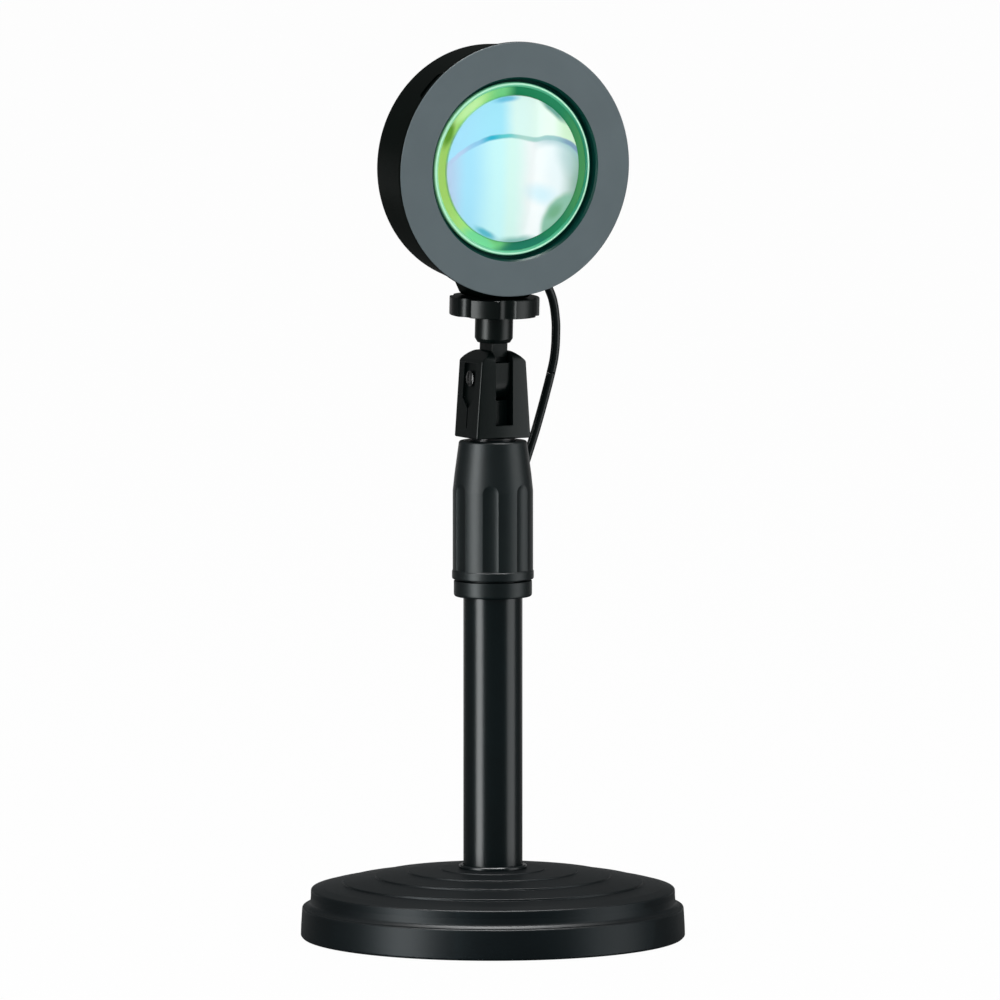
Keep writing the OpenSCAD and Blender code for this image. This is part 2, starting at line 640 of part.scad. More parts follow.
// Lock wheel: a disc with bevelled edges and scallops for the fingers
module lock_wheel() color("#25282a") on_stem() translate([0, 0, wheel_z]) difference() {
    bevel = 0.35;
    scallop_w = 6.1;
    scallop_depth = 1.3;
    scallop_r = (pow(scallop_w / 2, 2) + pow(scallop_depth, 2)) / (2 * scallop_depth);
    rotate_extrude($fn = 96)
        polygon([[stud_r + fit, 0], [wheel_r - bevel, 0], [wheel_r, bevel],
                 [wheel_r, wheel_t - bevel], [wheel_r - bevel, wheel_t], [stud_r + fit, wheel_t]]);
    for (k = [0:scallop_count - 1]) rotate(21 + 360 * k / scallop_count)
        translate([wheel_r - scallop_depth - 0.25 + scallop_r, 0, -1])
            cylinder(r = scallop_r, h = wheel_t + 2);
}

// =============================================================== lamp head

// Boss under the head that stands on the lock wheel, drawn between the stud and the shell
module boss_body(top) {
    intersection() {
        rotate([90, 0, 0]) linear_extrude(40, center = true)
            polygon([[-9.2, boss_z + 1], [-8.4, boss_z], [8.4, boss_z], [9.2, boss_z + 1],
                     [11.2, boss_z + 6], [11.2, top], [-11.2, top], [-11.2, boss_z + 6]]);
        rotate([90, 0, 90]) linear_extrude(40, center = true)
            polygon([[-8.2, boss_z + 1], [-7.6, boss_z], [7.6, boss_z], [8.2, boss_z + 1],
                     [9.4, boss_z + 6], [9.4, top], [-9.4, top], [-9.4, boss_z + 6]]);
        cylinder(r1 = 10.9, r2 = 13.6, h = boss_z + 8);
    }
}

module head_shell() color("#17191b") on_stem() difference() {
    union() {
        on_face_axis() difference() {
            rotate_extrude($fn = 128) polygon(concat(
                [[0, rear]], arc(shell_r - shell_taper - 1.9, rear + 2, 2, -90, -5, 5),
                [[shell_r, seam - 0.25], [0, seam - 0.25]]));
            translate([0, 0, inner_rear]) rotate_extrude($fn = 128) polygon([
                [0, 0], [shell_bore - shell_taper - 0.2, 0], [shell_bore - shell_taper, 0.6],
                [shell_bore, seam - inner_rear - 1], [shell_bore, 30], [0, 30]]);
        }
        intersection() {
            boss_body(head_z - shell_bore + 3);
            difference() {
                translate([-bezel_r / 2, -bezel_r / 2, boss_z - 1]) cube(bezel_r);
                on_face_axis() translate([0, 0, rear - 1])
                    cylinder(r1 = shell_r - shell_taper - shell_wall / 2,
                             r2 = shell_r - shell_wall / 2, h = seam - rear + 1, $fn = 128);
            }
        }
        // seat of the threaded insert, inside the shell
        translate([0, 0, boss_z]) intersection() {
            cylinder(r = insert_r + 2.1, h = insert_top + 1 - boss_z);
            translate([-bezel_r / 2, -bezel_r / 2, 0]) cube([bezel_r, bezel_r / 2 - inner_rear - 4, 20]);
        }
        // posts for the reflector
        on_face_axis() for (a = post_angles) rotate(a) translate([post_pcd, 0, inner_rear - eps])
            cylinder(r = 2.6, h = mirror_z - 1.2 - inner_rear);
    }
    translate([0, 0, boss_z - 1]) cylinder(r = insert_r + fit, h = insert_top - boss_z + 1);
    on_face_axis() {
        // screw holes in the posts
        for (a = post_angles) rotate(a) translate([post_pcd, 0, mirror_z - screw_bite - 2.2])
            cylinder(r = 1.1, h = screw_bite + 4);
        // hole for the lead's gland
        rotate(gland_angle) translate([gland_wall, 0, -gland_back]) rotate([0, 90 + shell_lean, 0])
            cylinder(r = 2.6, h = 12, center = true);
        // notch for prying the bezel off
        rotate(136.5) translate([shell_r - 3, 0, seam - 0.25]) rotate([0, 90, 0])
            linear_extrude(6) polygon([[-1, -6.5], [0, -6.5], [3.9, -4.5], [3.9, 4.5],
                                       [0, 6.5], [-1, 6.5]]);
        // cooling slots in the back
        for (k = [0:vent_count - 1]) {
            y = (k - (vent_count - 1) / 2) * 5;
            half_l = sqrt(pow(22, 2) - y * y);
            translate([0, y, rear - 1]) linear_extrude(shell_wall + 1.5)
                rounded_rect(2 * half_l, 1.8, 0.88);
        }
    }
}

// Threaded insert with a groove round its middle
module stud_insert() color("#b08d4a") on_stem() translate([0, 0, boss_z + 0.3]) {
    insert_l = insert_top - boss_z - 0.5;
    groove = 0.4;
    rotate_extrude() polygon([[stud_r + fit, 0], [insert_r, 0], [insert_r, insert_l * 0.32],
                              [insert_r - groove, insert_l * 0.36],
                              [insert_r - groove, insert_l * 0.54],
                              [insert_r, insert_l * 0.58], [insert_r, insert_l],
                              [stud_r + fit, insert_l]]);
}

// Front bezel: face plate, skirt that snaps into the shell, and the sleeve round the lens
module bezel() color("#5a5e62") on_head_axis() rotate_extrude($fn = 128) polygon(concat(
    [[window_r + 0.35, head_front], [window_r, head_front - 0.35], [window_r, lens_z],
     [lip_r + 0.2, lens_z], [lip_r, lens_z - 0.2], [lip_r, lens_z - 0.8],
     [window_r, lens_z - 0.8], [window_r, ring_back - 0.1], [sleeve_r, ring_back - 0.1],
     [sleeve_r, seam], [shell_bore - 1.9, seam], [shell_bore - 1.7, seam - 4.2],
     [shell_bore - 0.5, seam - 4.2], [shell_bore - 0.3, seam - 3.6], [shell_bore - 0.3, seam]],
    [[bezel_r, seam]], arc(bezel_r - 0.4, head_front - 0.4, 0.4, 0, 90, 3)));

// Plano-convex lens: a flat flange and a low dome
module lens() color("#7fd6c4", 0.6) on_head_axis() {
    dome_r = window_r - 5.2;
    ball_r = (dome_r * dome_r + dome_h * dome_h) / (2 * dome_h);
    half_a = asin(dome_r / ball_r);
    top = lens_back + lens_t - 0.05;
    rotate_extrude($fn = 96) polygon(concat(
        [[0, lens_back], [lens_r, lens_back], [lens_r, top]],
        arc(0, top + dome_h - ball_r, ball_r, 90 - half_a, 90, 10)));
}

module lens_gasket() color("#101010") on_head_axis() translate([0, 0, lens_back - gasket_t])
    ring(lens_r, lip_r - 0.4, gasket_t - eps);

module lens_ring() color("#2a2d30") on_head_axis() translate([0, 0, ring_back]) difference() {
    ring(lens_r, lip_r - 1.8, ring_t - eps);
    for (a = [0, 180]) rotate(a) translate([lip_r - 2.5, -1, -1]) cube([2.4, 2, 4]);
}

// Conical reflector between the light source and the lens
module reflector() color("#c4c7ca") on_head_axis() difference() {
    flange_t = 1.1;
    rotate_extrude($fn = 96) polygon([
        [throat_r, throat_z], [throat_r + 1.1, throat_z],
        [window_r - 3, mirror_z - flange_t], [post_pcd + 3.4, mirror_z - flange_t],
        [post_pcd + 3.4, mirror_z], [window_r - 4.4, mirror_z]]);
    for (a = post_angles) rotate(a) translate([post_pcd, 0, mirror_z - flange_t - 1])
        cylinder(r = 1.4, h = flange_t + 2);
}

module reflector_screws() color("#9a9ea2") on_head_axis()
    for (a = post_angles) rotate(a) translate([post_pcd, 0, mirror_z + eps])
        pan_screw(1.9, screw_head_h, 1.08, screw_bite + 1.1);

module filter_glass() color("#e0762e", 0.7) on_head_axis()
    translate([0, 0, throat_z - 1.2]) cylinder(r = throat_r + 0.9, h = 1.15);

// Ring that holds the filter glass against the reflector, standing on the board
module filter_ring() color("#2a2d30") on_head_axis() rotate_extrude() polygon([
    [throat_r + 1.05, throat_z], [throat_r + 3, throat_z], [throat_r + 3, pcb_z],
    [throat_r + 1.6, pcb_z], [throat_r + 1.6, throat_z - 1.9], [throat_r - 0.6, throat_z - 1.9],
    [throat_r - 0.6, throat_z - 1.25], [throat_r + 1.05, throat_z - 1.25]]);

module led_chip() color("#f0e2a0") on_head_axis() translate([0, 0, pcb_z]) {
    translate([-4.6, -4.6, 0]) cube([9.2, 9.2, chip_t * 0.6]);
    cylinder(r = 3.6, h = chip_t);
}

module led_board() color("#d8dadb") on_head_axis() translate([0, 0, plate_z]) difference() {
    cylinder(r = throat_r + 3.4, h = pcb_t, $fn = 96);
    for (a = [0, 180]) rotate(a) translate([7.6, 0, -1]) cylinder(r = 1.15, h = 4);
}

module board_screws() color("#9a9ea2") on_head_axis() for (a = [0, 180]) rotate(a)
    translate([7.6, 0, pcb_z + eps]) pan_screw(1.7, 0.9, 0.98, pcb_t + plate_t - 0.2);

board_y = 27.5;                                // driver board above the lamp's axis
board_w = 26;

module heat_plate() color("#b9bcc0") on_head_axis() difference() {
    union() {
        translate([0, 0, inner_rear]) cylinder(r = plate_r, h = plate_t, $fn = 96);
        for (s = [-1, 1]) translate([s * (board_w / 2 - 2.5), board_y, inner_rear])
            cylinder(r = 2, h = plate_t + 1.8);
    }
    for (a = post_angles) rotate(a) translate([post_pcd, 0, inner_rear - 1])
        cylinder(r = 2.8, h = 4);
    for (a = [0, 180]) rotate(a) translate([7.6, 0, inner_rear - 1]) cylinder(r = 1, h = 4);
    translate([-8, -plate_r - 7, inner_rear - 1]) cube([16, 12, 4]);
    for (s = [-1, 1]) translate([s * (board_w / 2 - 2.5), board_y, inner_rear + 0.5])
        cylinder(r = 0.9, h = 4);
}

module driver_board() color("#1f6b3a") on_head_axis()
    translate([0, board_y, plate_z + 1.8]) difference() {
        union() {
            translate([-board_w / 2, -5, 0]) cube([board_w, 10, pcb_t]);
            translate([-5, -3.2, pcb_t - eps]) cube([4.6, 4, 1.4]);
            translate([2, -3.4, pcb_t - eps]) cube([5, 5, 2.4]);
            translate([-9, 2.6, pcb_t - eps]) cube([3, 1.8, 0.8]);
        }
        for (s = [-1, 1]) translate([s * (board_w / 2 - 2.5), 0, -1])
            cylinder(r = 1.1, h = pcb_t + 2);
    }

module driver_screws() color("#9a9ea2") on_head_axis() for (s = [-1, 1])
    translate([s * (board_w / 2 - 2.5), board_y, plate_z + 1.8 + pcb_t + eps])
        pan_screw(1.7, 0.9, 0.88, pcb_t + 1.6);

// Rubber gland that the lead comes out of, square to the shell
module lead_gland() color("#0f1011") on_head_axis()
    rotate(gland_angle) translate([gland_wall, 0, -gland_back]) rotate([0, 90 + shell_lean, 0])
        rotate_extrude() polygon([
            [0, -shell_wall - 1.5], [3.5, -shell_wall - 1.5], [3.5, -shell_wall - 0.3],
            [2.55, -shell_wall - 0.3], [2.55, 0.05], [3.3, 0.05], [3.2, 1.2],
            [2.1, gland_nose], [0, gland_nose]]);

// =============================================================== lead

module lead_head() color("#0d0e0f") on_lead_axes() tube_along(along_pole(head_route), lead_r, 8);
module lead_tilt() color("#0d0e0f") on_lead_axes() tube_along(along_pole(tilt_route), lead_r, 8);
module lead_neck() color("#0d0e0f") on_lead_axes() tube_along(along_pole(neck_route), lead_r, 8);
module lead_drop() color("#0d0e0f") on_lead_axes() tube_along(along_pole(drop_route), lead_r, 8);
module lead_link() color("#0d0e0f") on_lead_axes() tube_along(link_route, lead_r, 8);
module lead_tail() color("#0d0e0f") on_lead_axes() tube_along(tail_route, lead_r, 8);
module lead_coil() color("#0d0e0f") on_lead_axes() tube_along(coil_line, lead_r, 6);

// Strap that holds the coil together
module coil_tie() color("#202224") on_lead_axes() {
    tie_w = 7;
    tie_t = 0.5;
    inner = coil_r - coil_pitch * (coil_turns + half / 2) - lead_r - loose;
    outer = coil_r + lead_r + loose;
    top = coil_high + lead_r + 0.2;
    translate([-coil_r, coil_back, 0]) rotate(120) rotate([90, 0, 0])
        linear_extrude(tie_w, center = true) difference() {
            translate([inner - tie_t, 0]) square([outer - inner + 2 * tie_t, top + tie_t]);
            translate([inner, tie_t]) square([outer - inner, top - tie_t]);
        }
}

// Half of the inline switch's case, with half of each lead nose
module switch_shell(z0, h) {
    translate([switch_mid[0], switch_mid[1], z0]) intersection() {
        union() {
            linear_extrude(h) rounded_rect(switch_l, switch_w, 4);
            translate([0, 0, lead_h - z0]) rotate([0, 90, 0])
                cylinder(r = 2.6, h = switch_l + 2 * switch_nose_l, center = true);
        }
        translate([-50, -50, 0]) cube([100, 100, h]);
        rotate([90, 0, 0]) translate([0, switch_h / 2 - z0, 0]) linear_extrude(50, center = true)
            rounded_rect(switch_l + 20, switch_h, 1.6);
    }
}

module switch_base() color("#141516") on_lead_axes() difference() {
    switch_shell(0, lead_h);
    translate([switch_mid[0] - 9, switch_mid[1] - 4, 1.4]) cube([18, 8, 5]);
}

module switch_cover() color("#141516") on_lead_axes() difference() {
    switch_shell(lead_h, switch_h - lead_h);
    translate([switch_mid[0], switch_mid[1], 0]) {
        linear_extrude(20) rounded_rect(9.4, 6.4, 3.1);
        translate([-9, -4, 0]) cube([18, 8, 6]);
    }
}

module switch_button() color("#2c2f31") on_lead_axes()
    translate([switch_mid[0], switch_mid[1], 3]) {
        linear_extrude(switch_h - 2.2) rounded_rect(9, 6, 2.9);
        translate([-7, -3.4, 1.2]) cube([14, 6.8, 1]);
    }

module on_plug_axis() {
    on_lead_axes() translate([plug_rear, plug_axis[0], plug_axis[1]]) rotate([0, -90, 0]) children();
}

// Moulded grip of the plug, with a tapered nose round the lead
module plug_body() color("#121314") on_plug_axis() difference() {
    union() {
        cylinder(r1 = 2.2, r2 = 3.2, h = plug_nose_l + eps);
        translate([0, 0, plug_nose_l]) linear_extrude(plug_l) rounded_rect(plug_h, plug_w, 2);
    }
    translate([0, 0, plug_nose_l + plug_l - 3]) linear_extrude(5) square([shell_h, shell_w], center = true);
}

module plug_shell() color("#b5b8bb") on_plug_axis()
    translate([0, 0, plug_nose_l + plug_l - 3 + eps]) difference() {
        linear_extrude(shell_l + 3) square([shell_h - 0.04, shell_w - 0.04], center = true);
        translate([0, 0, -1]) linear_extrude(shell_l + 5)
            square([shell_h - 0.6, shell_w - 0.6], center = true);
        for (y = [-2.8, 2.8]) translate([0, y - 1, shell_l - 3]) cube([5, 2, 2.2]);
    }

module plug_insert() color("#e6e6e2") on_plug_axis()
    translate([-shell_h / 2 + 0.35, -shell_w / 2 + 0.4, plug_nose_l + plug_l - 2.9])
        cube([1.9, shell_w - 0.8, shell_l + 2.4]);

// =============================================================== assembly

base_cover();
base_weight();
base_pad();
base_screw();
foot_ring();
tube_foot();
lower_tube();
lock_collar();
lock_collet();
lock_grip();
upper_tube();
tube_glide();
tube_plug();
tilt_housing();
pivot_screw();
pivot_nut();
tilt_stem();
stem_stud();
lock_wheel();
head_shell();
stud_insert();
bezel();
lens();
lens_gasket();
lens_ring();
reflector();
reflector_screws();
filter_glass();
filter_ring();
led_chip();
led_board();
board_screws();
heat_plate();
driver_board();
driver_screws();
lead_gland();
lead_head();
lead_tilt();
lead_neck();
lead_drop();
lead_coil();
coil_tie();
lead_link();
switch_base();
switch_cover();
switch_button();
lead_tail();
plug_body();
plug_shell();
plug_insert();
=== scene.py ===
import math

import bpy
from mathutils import Matrix, Vector


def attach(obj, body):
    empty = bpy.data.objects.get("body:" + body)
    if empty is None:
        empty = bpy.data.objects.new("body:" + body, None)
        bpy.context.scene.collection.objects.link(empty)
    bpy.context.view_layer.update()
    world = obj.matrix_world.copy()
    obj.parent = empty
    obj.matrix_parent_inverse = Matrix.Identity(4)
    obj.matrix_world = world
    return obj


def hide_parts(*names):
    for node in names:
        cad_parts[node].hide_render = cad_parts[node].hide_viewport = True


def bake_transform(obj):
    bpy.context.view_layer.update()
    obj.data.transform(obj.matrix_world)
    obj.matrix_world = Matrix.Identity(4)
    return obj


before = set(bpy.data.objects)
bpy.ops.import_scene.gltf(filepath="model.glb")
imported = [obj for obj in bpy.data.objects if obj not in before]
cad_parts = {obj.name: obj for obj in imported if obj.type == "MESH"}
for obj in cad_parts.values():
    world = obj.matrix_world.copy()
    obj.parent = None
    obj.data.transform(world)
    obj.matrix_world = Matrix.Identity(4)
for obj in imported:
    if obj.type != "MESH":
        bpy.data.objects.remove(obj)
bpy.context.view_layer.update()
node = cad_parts

# ---------------------------------------------------------------- camera
# The lamp is seen from its front left and a little above, from 3.6 m away with a long lens, so
# the lamp head shows its face and its left side.
VIEW_YAW = math.radians(-26.6)
VIEW_SIDE, VIEW_DISTANCE, VIEW_HEIGHT, AIM_HEIGHT = 0.00238, 3.618, 0.4714, 0.1475
ACROSS = Vector((math.cos(VIEW_YAW), math.sin(VIEW_YAW), 0))
AWAY = Vector((-math.sin(VIEW_YAW), math.cos(VIEW_YAW), 0))
camera_data = bpy.data.cameras.new("camera")
camera_data.sensor_width = 36
camera_data.lens = 389.66
camera_data.clip_end = 20
camera = bpy.data.objects.new("camera", camera_data)
bpy.context.scene.collection.objects.link(camera)
camera.location = ACROSS * VIEW_SIDE - AWAY * VIEW_DISTANCE + Vector((0, 0, VIEW_HEIGHT))
aim = ACROSS * VIEW_SIDE + Vector((0, 0, AIM_HEIGHT)) - camera.location
camera.rotation_euler = aim.to_track_quat("-Z", "Y").to_euler()
bpy.context.scene.camera = camera
bpy.context.scene.view_settings.view_transform = "Standard"

# ---------------------------------------------------------------- lead
# A thin round lead in black PVC with a fine satin skin. It leaves a gland under the lamp head,
# hangs down beside the tilt head and behind the pole, runs over the base, and lies wound in a
# coil behind it with its switch and plug.
LEAD_D = 0.003
COIL_R, COIL_PITCH, COIL_TURNS, COIL_BACK, COIL_LOW = 24, 3.5, 3.75, 90, 2.1
CLOUD_LOW, CLOUD_HIGH = 0.3, 0.7              # the part of a noise's range that is used


def finish_of(name, colour, rough=0.4, sheen_coat=0.1, coat_rough=0.3, grain=1500.0,
              relief=0.12, tone=0.15, metal=0.0, specular=0.0):
    """A moulded, painted or metal finish. Its tone and roughness drift a little over the piece,
    a fine grain catches the light, and a thin coat gives the gloss."""
    m = bpy.data.materials.new(name)
    m.use_nodes = True
    nodes, links = m.node_tree.nodes, m.node_tree.links
    shader = nodes["Principled BSDF"]
    shader.inputs["Metallic"].default_value = metal
    shader.inputs["Specular IOR Level"].default_value = specular
    shader.inputs["Coat Weight"].default_value = sheen_coat
    shader.inputs["Coat Roughness"].default_value = coat_rough
    spot = nodes.new("ShaderNodeTexCoord")
    skin = nodes.new("ShaderNodeTexNoise")
    skin.inputs["Scale"].default_value = grain
    skin.inputs["Detail"].default_value = 3
    bump = nodes.new("ShaderNodeBump")
    bump.inputs["Strength"].default_value = relief
    bump.inputs["Distance"].default_value = 0.00004
    links.new(spot.outputs["Object"], skin.inputs["Vector"])
    links.new(skin.outputs["Fac"], bump.inputs["Height"])
    links.new(bump.outputs["Normal"], shader.inputs["Normal"])
    links.new(bump.outputs["Normal"], shader.inputs["Coat Normal"])
    cloud = nodes.new("ShaderNodeTexNoise")
    cloud.inputs["Scale"].default_value = 70
    cloud.inputs["Detail"].default_value = 5
    links.new(spot.outputs["Object"], cloud.inputs["Vector"])
    level = nodes.new("ShaderNodeMapRange")
    level.inputs["From Min"].default_value = CLOUD_LOW
    level.inputs["From Max"].default_value = CLOUD_HIGH
    level.inputs["To Min"].default_value = max(0.03, rough - 0.06)
    level.inputs["To Max"].default_value = min(1, rough + 0.06)
    links.new(cloud.outputs["Fac"], level.inputs["Value"])
    links.new(level.outputs["Result"], shader.inputs["Roughness"])
    ramp = nodes.new("ShaderNodeValToRGB")
    ramp.color_ramp.elements[0].position = CLOUD_LOW
    ramp.color_ramp.elements[0].color = [c * (1 - tone) for c in colour] + [1]
    ramp.color_ramp.elements[1].position = CLOUD_HIGH
    ramp.color_ramp.elements[1].color = [min(1, c * (1 + tone)) for c in colour] + [1]
    links.new(cloud.outputs["Fac"], ramp.inputs["Fac"])
    links.new(ramp.outputs["Color"], shader.inputs["Base Color"])
    return m


def dress(finish, *pieces):
    """Gives pieces, or CAD nodes by name, one material."""
    for o in pieces:
        o = node[o] if isinstance(o, str) else o
        o.data.materials.clear()
        o.data.materials.append(finish)


def lead_point(p):
    """A route's point, [across, behind, up] in millimetres, in the frame."""
    return ACROSS * (p[0] / 1000) + AWAY * (p[1] / 1000) + Vector((0, 0, p[2] / 1000))


def smooth_route(points, before=None, after=None, step=0.0011):
    """A smooth line through the route's points, with a point at about every step. The points
    before and after it on the neighbouring routes set its direction at its ends."""
    p = [lead_point(q) for q in points]
    ends = ([lead_point(before) if before else 2 * p[0] - p[1]] + p
            + [lead_point(after) if after else 2 * p[-1] - p[-2]])
    line = []
    for i in range(1, len(ends) - 2):
        a, b, c, d = ends[i - 1:i + 3]
        count = max(1, round((c - b).length / step))
        for k in range(count):
            t = k / count
            line.append(0.5 * (2 * b + (c - a) * t + (2 * a - 5 * b + 4 * c - d) * t ** 2
                               + (3 * b - a - 3 * c + d) * t ** 3))
    return line + [p[-1]]


def lead_tube(name, line, sides=16, radius=LEAD_D / 2):
    """A closed round tube along a line, with its frame carried along without twist."""
    count = len(line)
    tangents = [(line[min(i + 1, count - 1)] - line[max(i - 1, 0)]).normalized()
                for i in range(count)]
    normal = tangents[0].orthogonal().normalized()
    corners, faces = [], []
    for i in range(count):
        normal = (normal - tangents[i] * normal.dot(tangents[i])).normalized()
        other = tangents[i].cross(normal)
        for k in range(sides):
            a = 2 * math.pi * k / sides
            corners.append(line[i] + radius * (math.cos(a) * normal + math.sin(a) * other))
        for k in range(sides if i else 0):
            a, b = (i - 1) * sides, i * sides
            n = (k + 1) % sides
            faces.append((a + k, a + n, b + n, b + k))
    faces.append(tuple(reversed(range(sides))))
    faces.append(tuple((count - 1) * sides + k for k in range(sides)))
    mesh = bpy.data.meshes.new(name)
    mesh.from_pydata(corners, [], faces)
    for polygon in mesh.polygons:
        polygon.use_smooth = len(polygon.vertices) == 4
    mesh.update()
    o = bpy.data.objects.new(name, mesh)
    bpy.context.scene.collection.objects.link(o)
    return o


lead_skin = finish_of("lead_skin", (0.0012, 0.0030, 0.0032), coat_rough=0.35, grain=2600,
                      relief=0.18)
HEAD_ROUTE = [[17.53, 12.05, 220.69], [18.31, 12.79, 218.77], [19.09, 13.52, 216.85],
              [19.95, 14.4, 214.5], [20.6, 15.15, 211.5], [20.95, 15.65, 208.7],
              [21.2, 16.05, 205.8], [21.2, 16.4, 202.8], [21.05, 16.8, 198.3],
              [20.5, 17.3, 193.5], [19.55, 17.65, 189]]
TILT_ROUTE = [[19.55, 17.65, 189], [18.8, 17.8, 185.9], [17.35, 18, 180.3], [16, 18.1, 175.3],
              [15.1, 18.1, 172.1], [14.15, 18.1, 168.8], [12.1, 18, 162.3], [9.85, 17.9, 155.3]]
NECK_ROUTE = [[9.85, 17.9, 155.3], [7.85, 17.8, 149.3], [6, 17.6, 143.3], [4.4, 17.3, 136.8],
              [3.2, 17, 130.3], [2.5, 16.8, 124.3], [1.9, 16.7, 113.3], [1.7, 16.7, 110]]
DROP_ROUTE = [[1.7, 16.7, 110], [1.5, 16.6, 105], [1.2, 16.5, 96], [1, 16.5, 87],
              [0.9, 16.5, 78], [0.8, 16.5, 69], [0.6, 16.5, 60], [0.4, 16.5, 51],
              [0.2, 16.5, 43], [0, 16.7, 37], [0, 18.3, 33.05], [0, 21.4, 28.95],
              [0, 25.4, 26.15], [0, 30, 24.95], [0, 35, 24.25], [0, 40, 23.55],
              [0, 45, 22.75], [0, 50, 21.85], [0, 54, 20.95], [0, 58, 19.65], [0, 62.2, 17.4],
              [0, 65.3, 14.1], [0, 67.8, 9.8], [0, 70.5, 5.9], [0, 74.2, 3.2],
              [0, 78.6, 2.1], [0, 83, 2.1], [0, 87, 2.1]]
LINK_ROUTE = [[0, 93, 5.6], [0, 95, 5.6], [0.5, 97, 5.6], [1.9, 99.4, 5.4], [4.2, 101.6, 4.9],
              [7.2, 103, 4.2], [10, 103.5, 3.8], [12.5, 103.5, 3.8]]
TAIL_ROUTE = [[44.5, 103.5, 3.8], [47, 103.5, 3.8], [50.7, 102.9, 3.3], [53.9, 101, 2.6],
              [56.3, 98.1, 2], [57.6, 94.6, 1.8], [57.6, 90.9, 1.8], [56.3, 87.4, 2],
              [53.9, 84.5, 2.7], [50.7, 82.6, 3.5], [47, 82, 4], [44.5, 82, 4]]


def coil_route():
    """In along the table for all turns, up a layer in a half turn, and out again on top."""
    def radius(t):
        back = abs(t - COIL_TURNS - 0.25) - 0.25
        return COIL_R - COIL_PITCH * (COIL_TURNS - back)

    def height(t):
        s = min(1, max(0, (t - COIL_TURNS) / 0.5))
        return COIL_LOW + COIL_PITCH * s * s * (3 - 2 * s)

    rings = 48
    turns = range(int((2 * COIL_TURNS + 0.5) * rings) + 1)
    return ([[0, COIL_BACK - 3, COIL_LOW]]
            + [[radius(i / rings) * math.cos(2 * math.pi * i / rings) - COIL_R,
                radius(i / rings) * math.sin(2 * math.pi * i / rings) + COIL_BACK,
                height(i / rings)] for i in turns]
            + [[0, COIL_BACK + 3, COIL_LOW + COIL_PITCH]])


def lay_lead(name, line, replaced, sides=16,
             span=None):
    """One stretch of the lead: its tube and its material, in place of its CAD nodes."""
    o = lead_tube(name, line, sides)
    dress(lead_skin, o)
    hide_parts(*replaced)
    if span:
        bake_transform(o)
    else:
        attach(o, "root")


lay_lead("lead_under_head", smooth_route(HEAD_ROUTE, after=TILT_ROUTE[1]),
         ["lead_head"], span=("head", "stem"))
lay_lead("lead_at_tilt", smooth_route(TILT_ROUTE, HEAD_ROUTE[-2], NECK_ROUTE[1]),
         ["lead_tilt"], span=("stem", "housing"))
lay_lead("lead_at_grip", smooth_route(NECK_ROUTE, TILT_ROUTE[-2], DROP_ROUTE[1]),
         ["lead_neck"], span=("housing", "riser"))
lay_lead("lead_behind_pole", smooth_route(DROP_ROUTE, before=NECK_ROUTE[-2]),
         ["lead_drop"], span=("riser", "root"))
lay_lead("lead_coiled", [lead_point(p) for p in coil_route()][:-1] + smooth_route(LINK_ROUTE),
         ["lead_coil", "lead_link"], sides=12)
lay_lead("lead_to_plug", smooth_route(TAIL_ROUTE), ["lead_tail"])

# ---------------------------------------------------------------- base cover
# The stepped top of the base, pressed from steel sheet and painted black. A cove runs round it
# above the rim, and four low steps rise to the pole, each with a crisp edge.
MM = 0.001
SMOOTH_ANGLE = math.radians(32)               # faces that meet at less than this look round


def eased(outline, parts=4):
    """A closed outline of [x, y, radius] points with its corners rounded off."""
    line = []
    for i, (x, y, radius) in enumerate(outline):
        here, last = Vector((x, y)), Vector(outline[i - 1][:2])
        onward = Vector(outline[(i + 1) % len(outline)][:2])
        back, on = last - here, onward - here
        turn = back.angle(on) if back.length and on.length else math.pi
        reach = min(radius / math.tan(turn / 2), back.length * 0.49, on.length * 0.49)
        if reach < 1e-4:
            line.append((x, y))
            continue
        a, b = here + back.normalized() * reach, here + on.normalized() * reach
        for k in range(parts + 1):
            t = k / parts
            q = a * (1 - t) ** 2 + here * 2 * t * (1 - t) + b * t ** 2
            line.append((q.x, q.y))
    return line


def arc(cx, cy, radius, start, end, parts=24):
    """Points of an arc, as [x, y, no easing]."""
    return [[cx + radius * math.cos(math.radians(start + (end - start) * i / parts)),
             cy + radius * math.sin(math.radians(start + (end - start) * i / parts)), 0]
            for i in range(parts + 1)]


def draw(name, points):
    """Starts a piece as a chain of corners, drawn from one corner by extruding it."""
    bpy.ops.object.select_all(action="DESELECT")
    bpy.ops.mesh.primitive_plane_add(size=MM, location=(0, 0, 0))
    bpy.context.object.name = bpy.context.object.data.name = name
    bpy.ops.object.mode_set(mode="EDIT")
    bpy.ops.mesh.select_all(action="SELECT")
    bpy.ops.mesh.merge(type="CENTER")
    bpy.ops.transform.translate(value=points[0] * MM)
    for a, b in zip(points, points[1:]):
        bpy.ops.mesh.extrude_vertices_move(TRANSFORM_OT_translate={"value": (b - a) * MM})
    bpy.ops.mesh.select_all(action="SELECT")


def close_up():
    """Merges the doubles of a piece in edit mode, points its faces outwards and leaves it."""
    bpy.ops.mesh.select_all(action="SELECT")
    bpy.ops.mesh.remove_doubles(threshold=0.000004)
    bpy.ops.mesh.normals_make_consistent(inside=False)
    bpy.ops.object.mode_set(mode="OBJECT")
    bpy.ops.object.shade_smooth_by_angle(angle=SMOOTH_ANGLE)
    return bpy.context.object


def turned(name, outline, steps=128, parts=4):
    """A round piece, spun about Z from its outline of [radius, height, easing]."""
    line = eased(outline, parts)
    draw(name, [Vector((x, 0, z)) for x, z in line + line[:1]])
    bpy.ops.mesh.spin(steps=steps, angle=2 * math.pi, center=(0, 0, 0), axis=(0, 0, 1))
    return close_up()


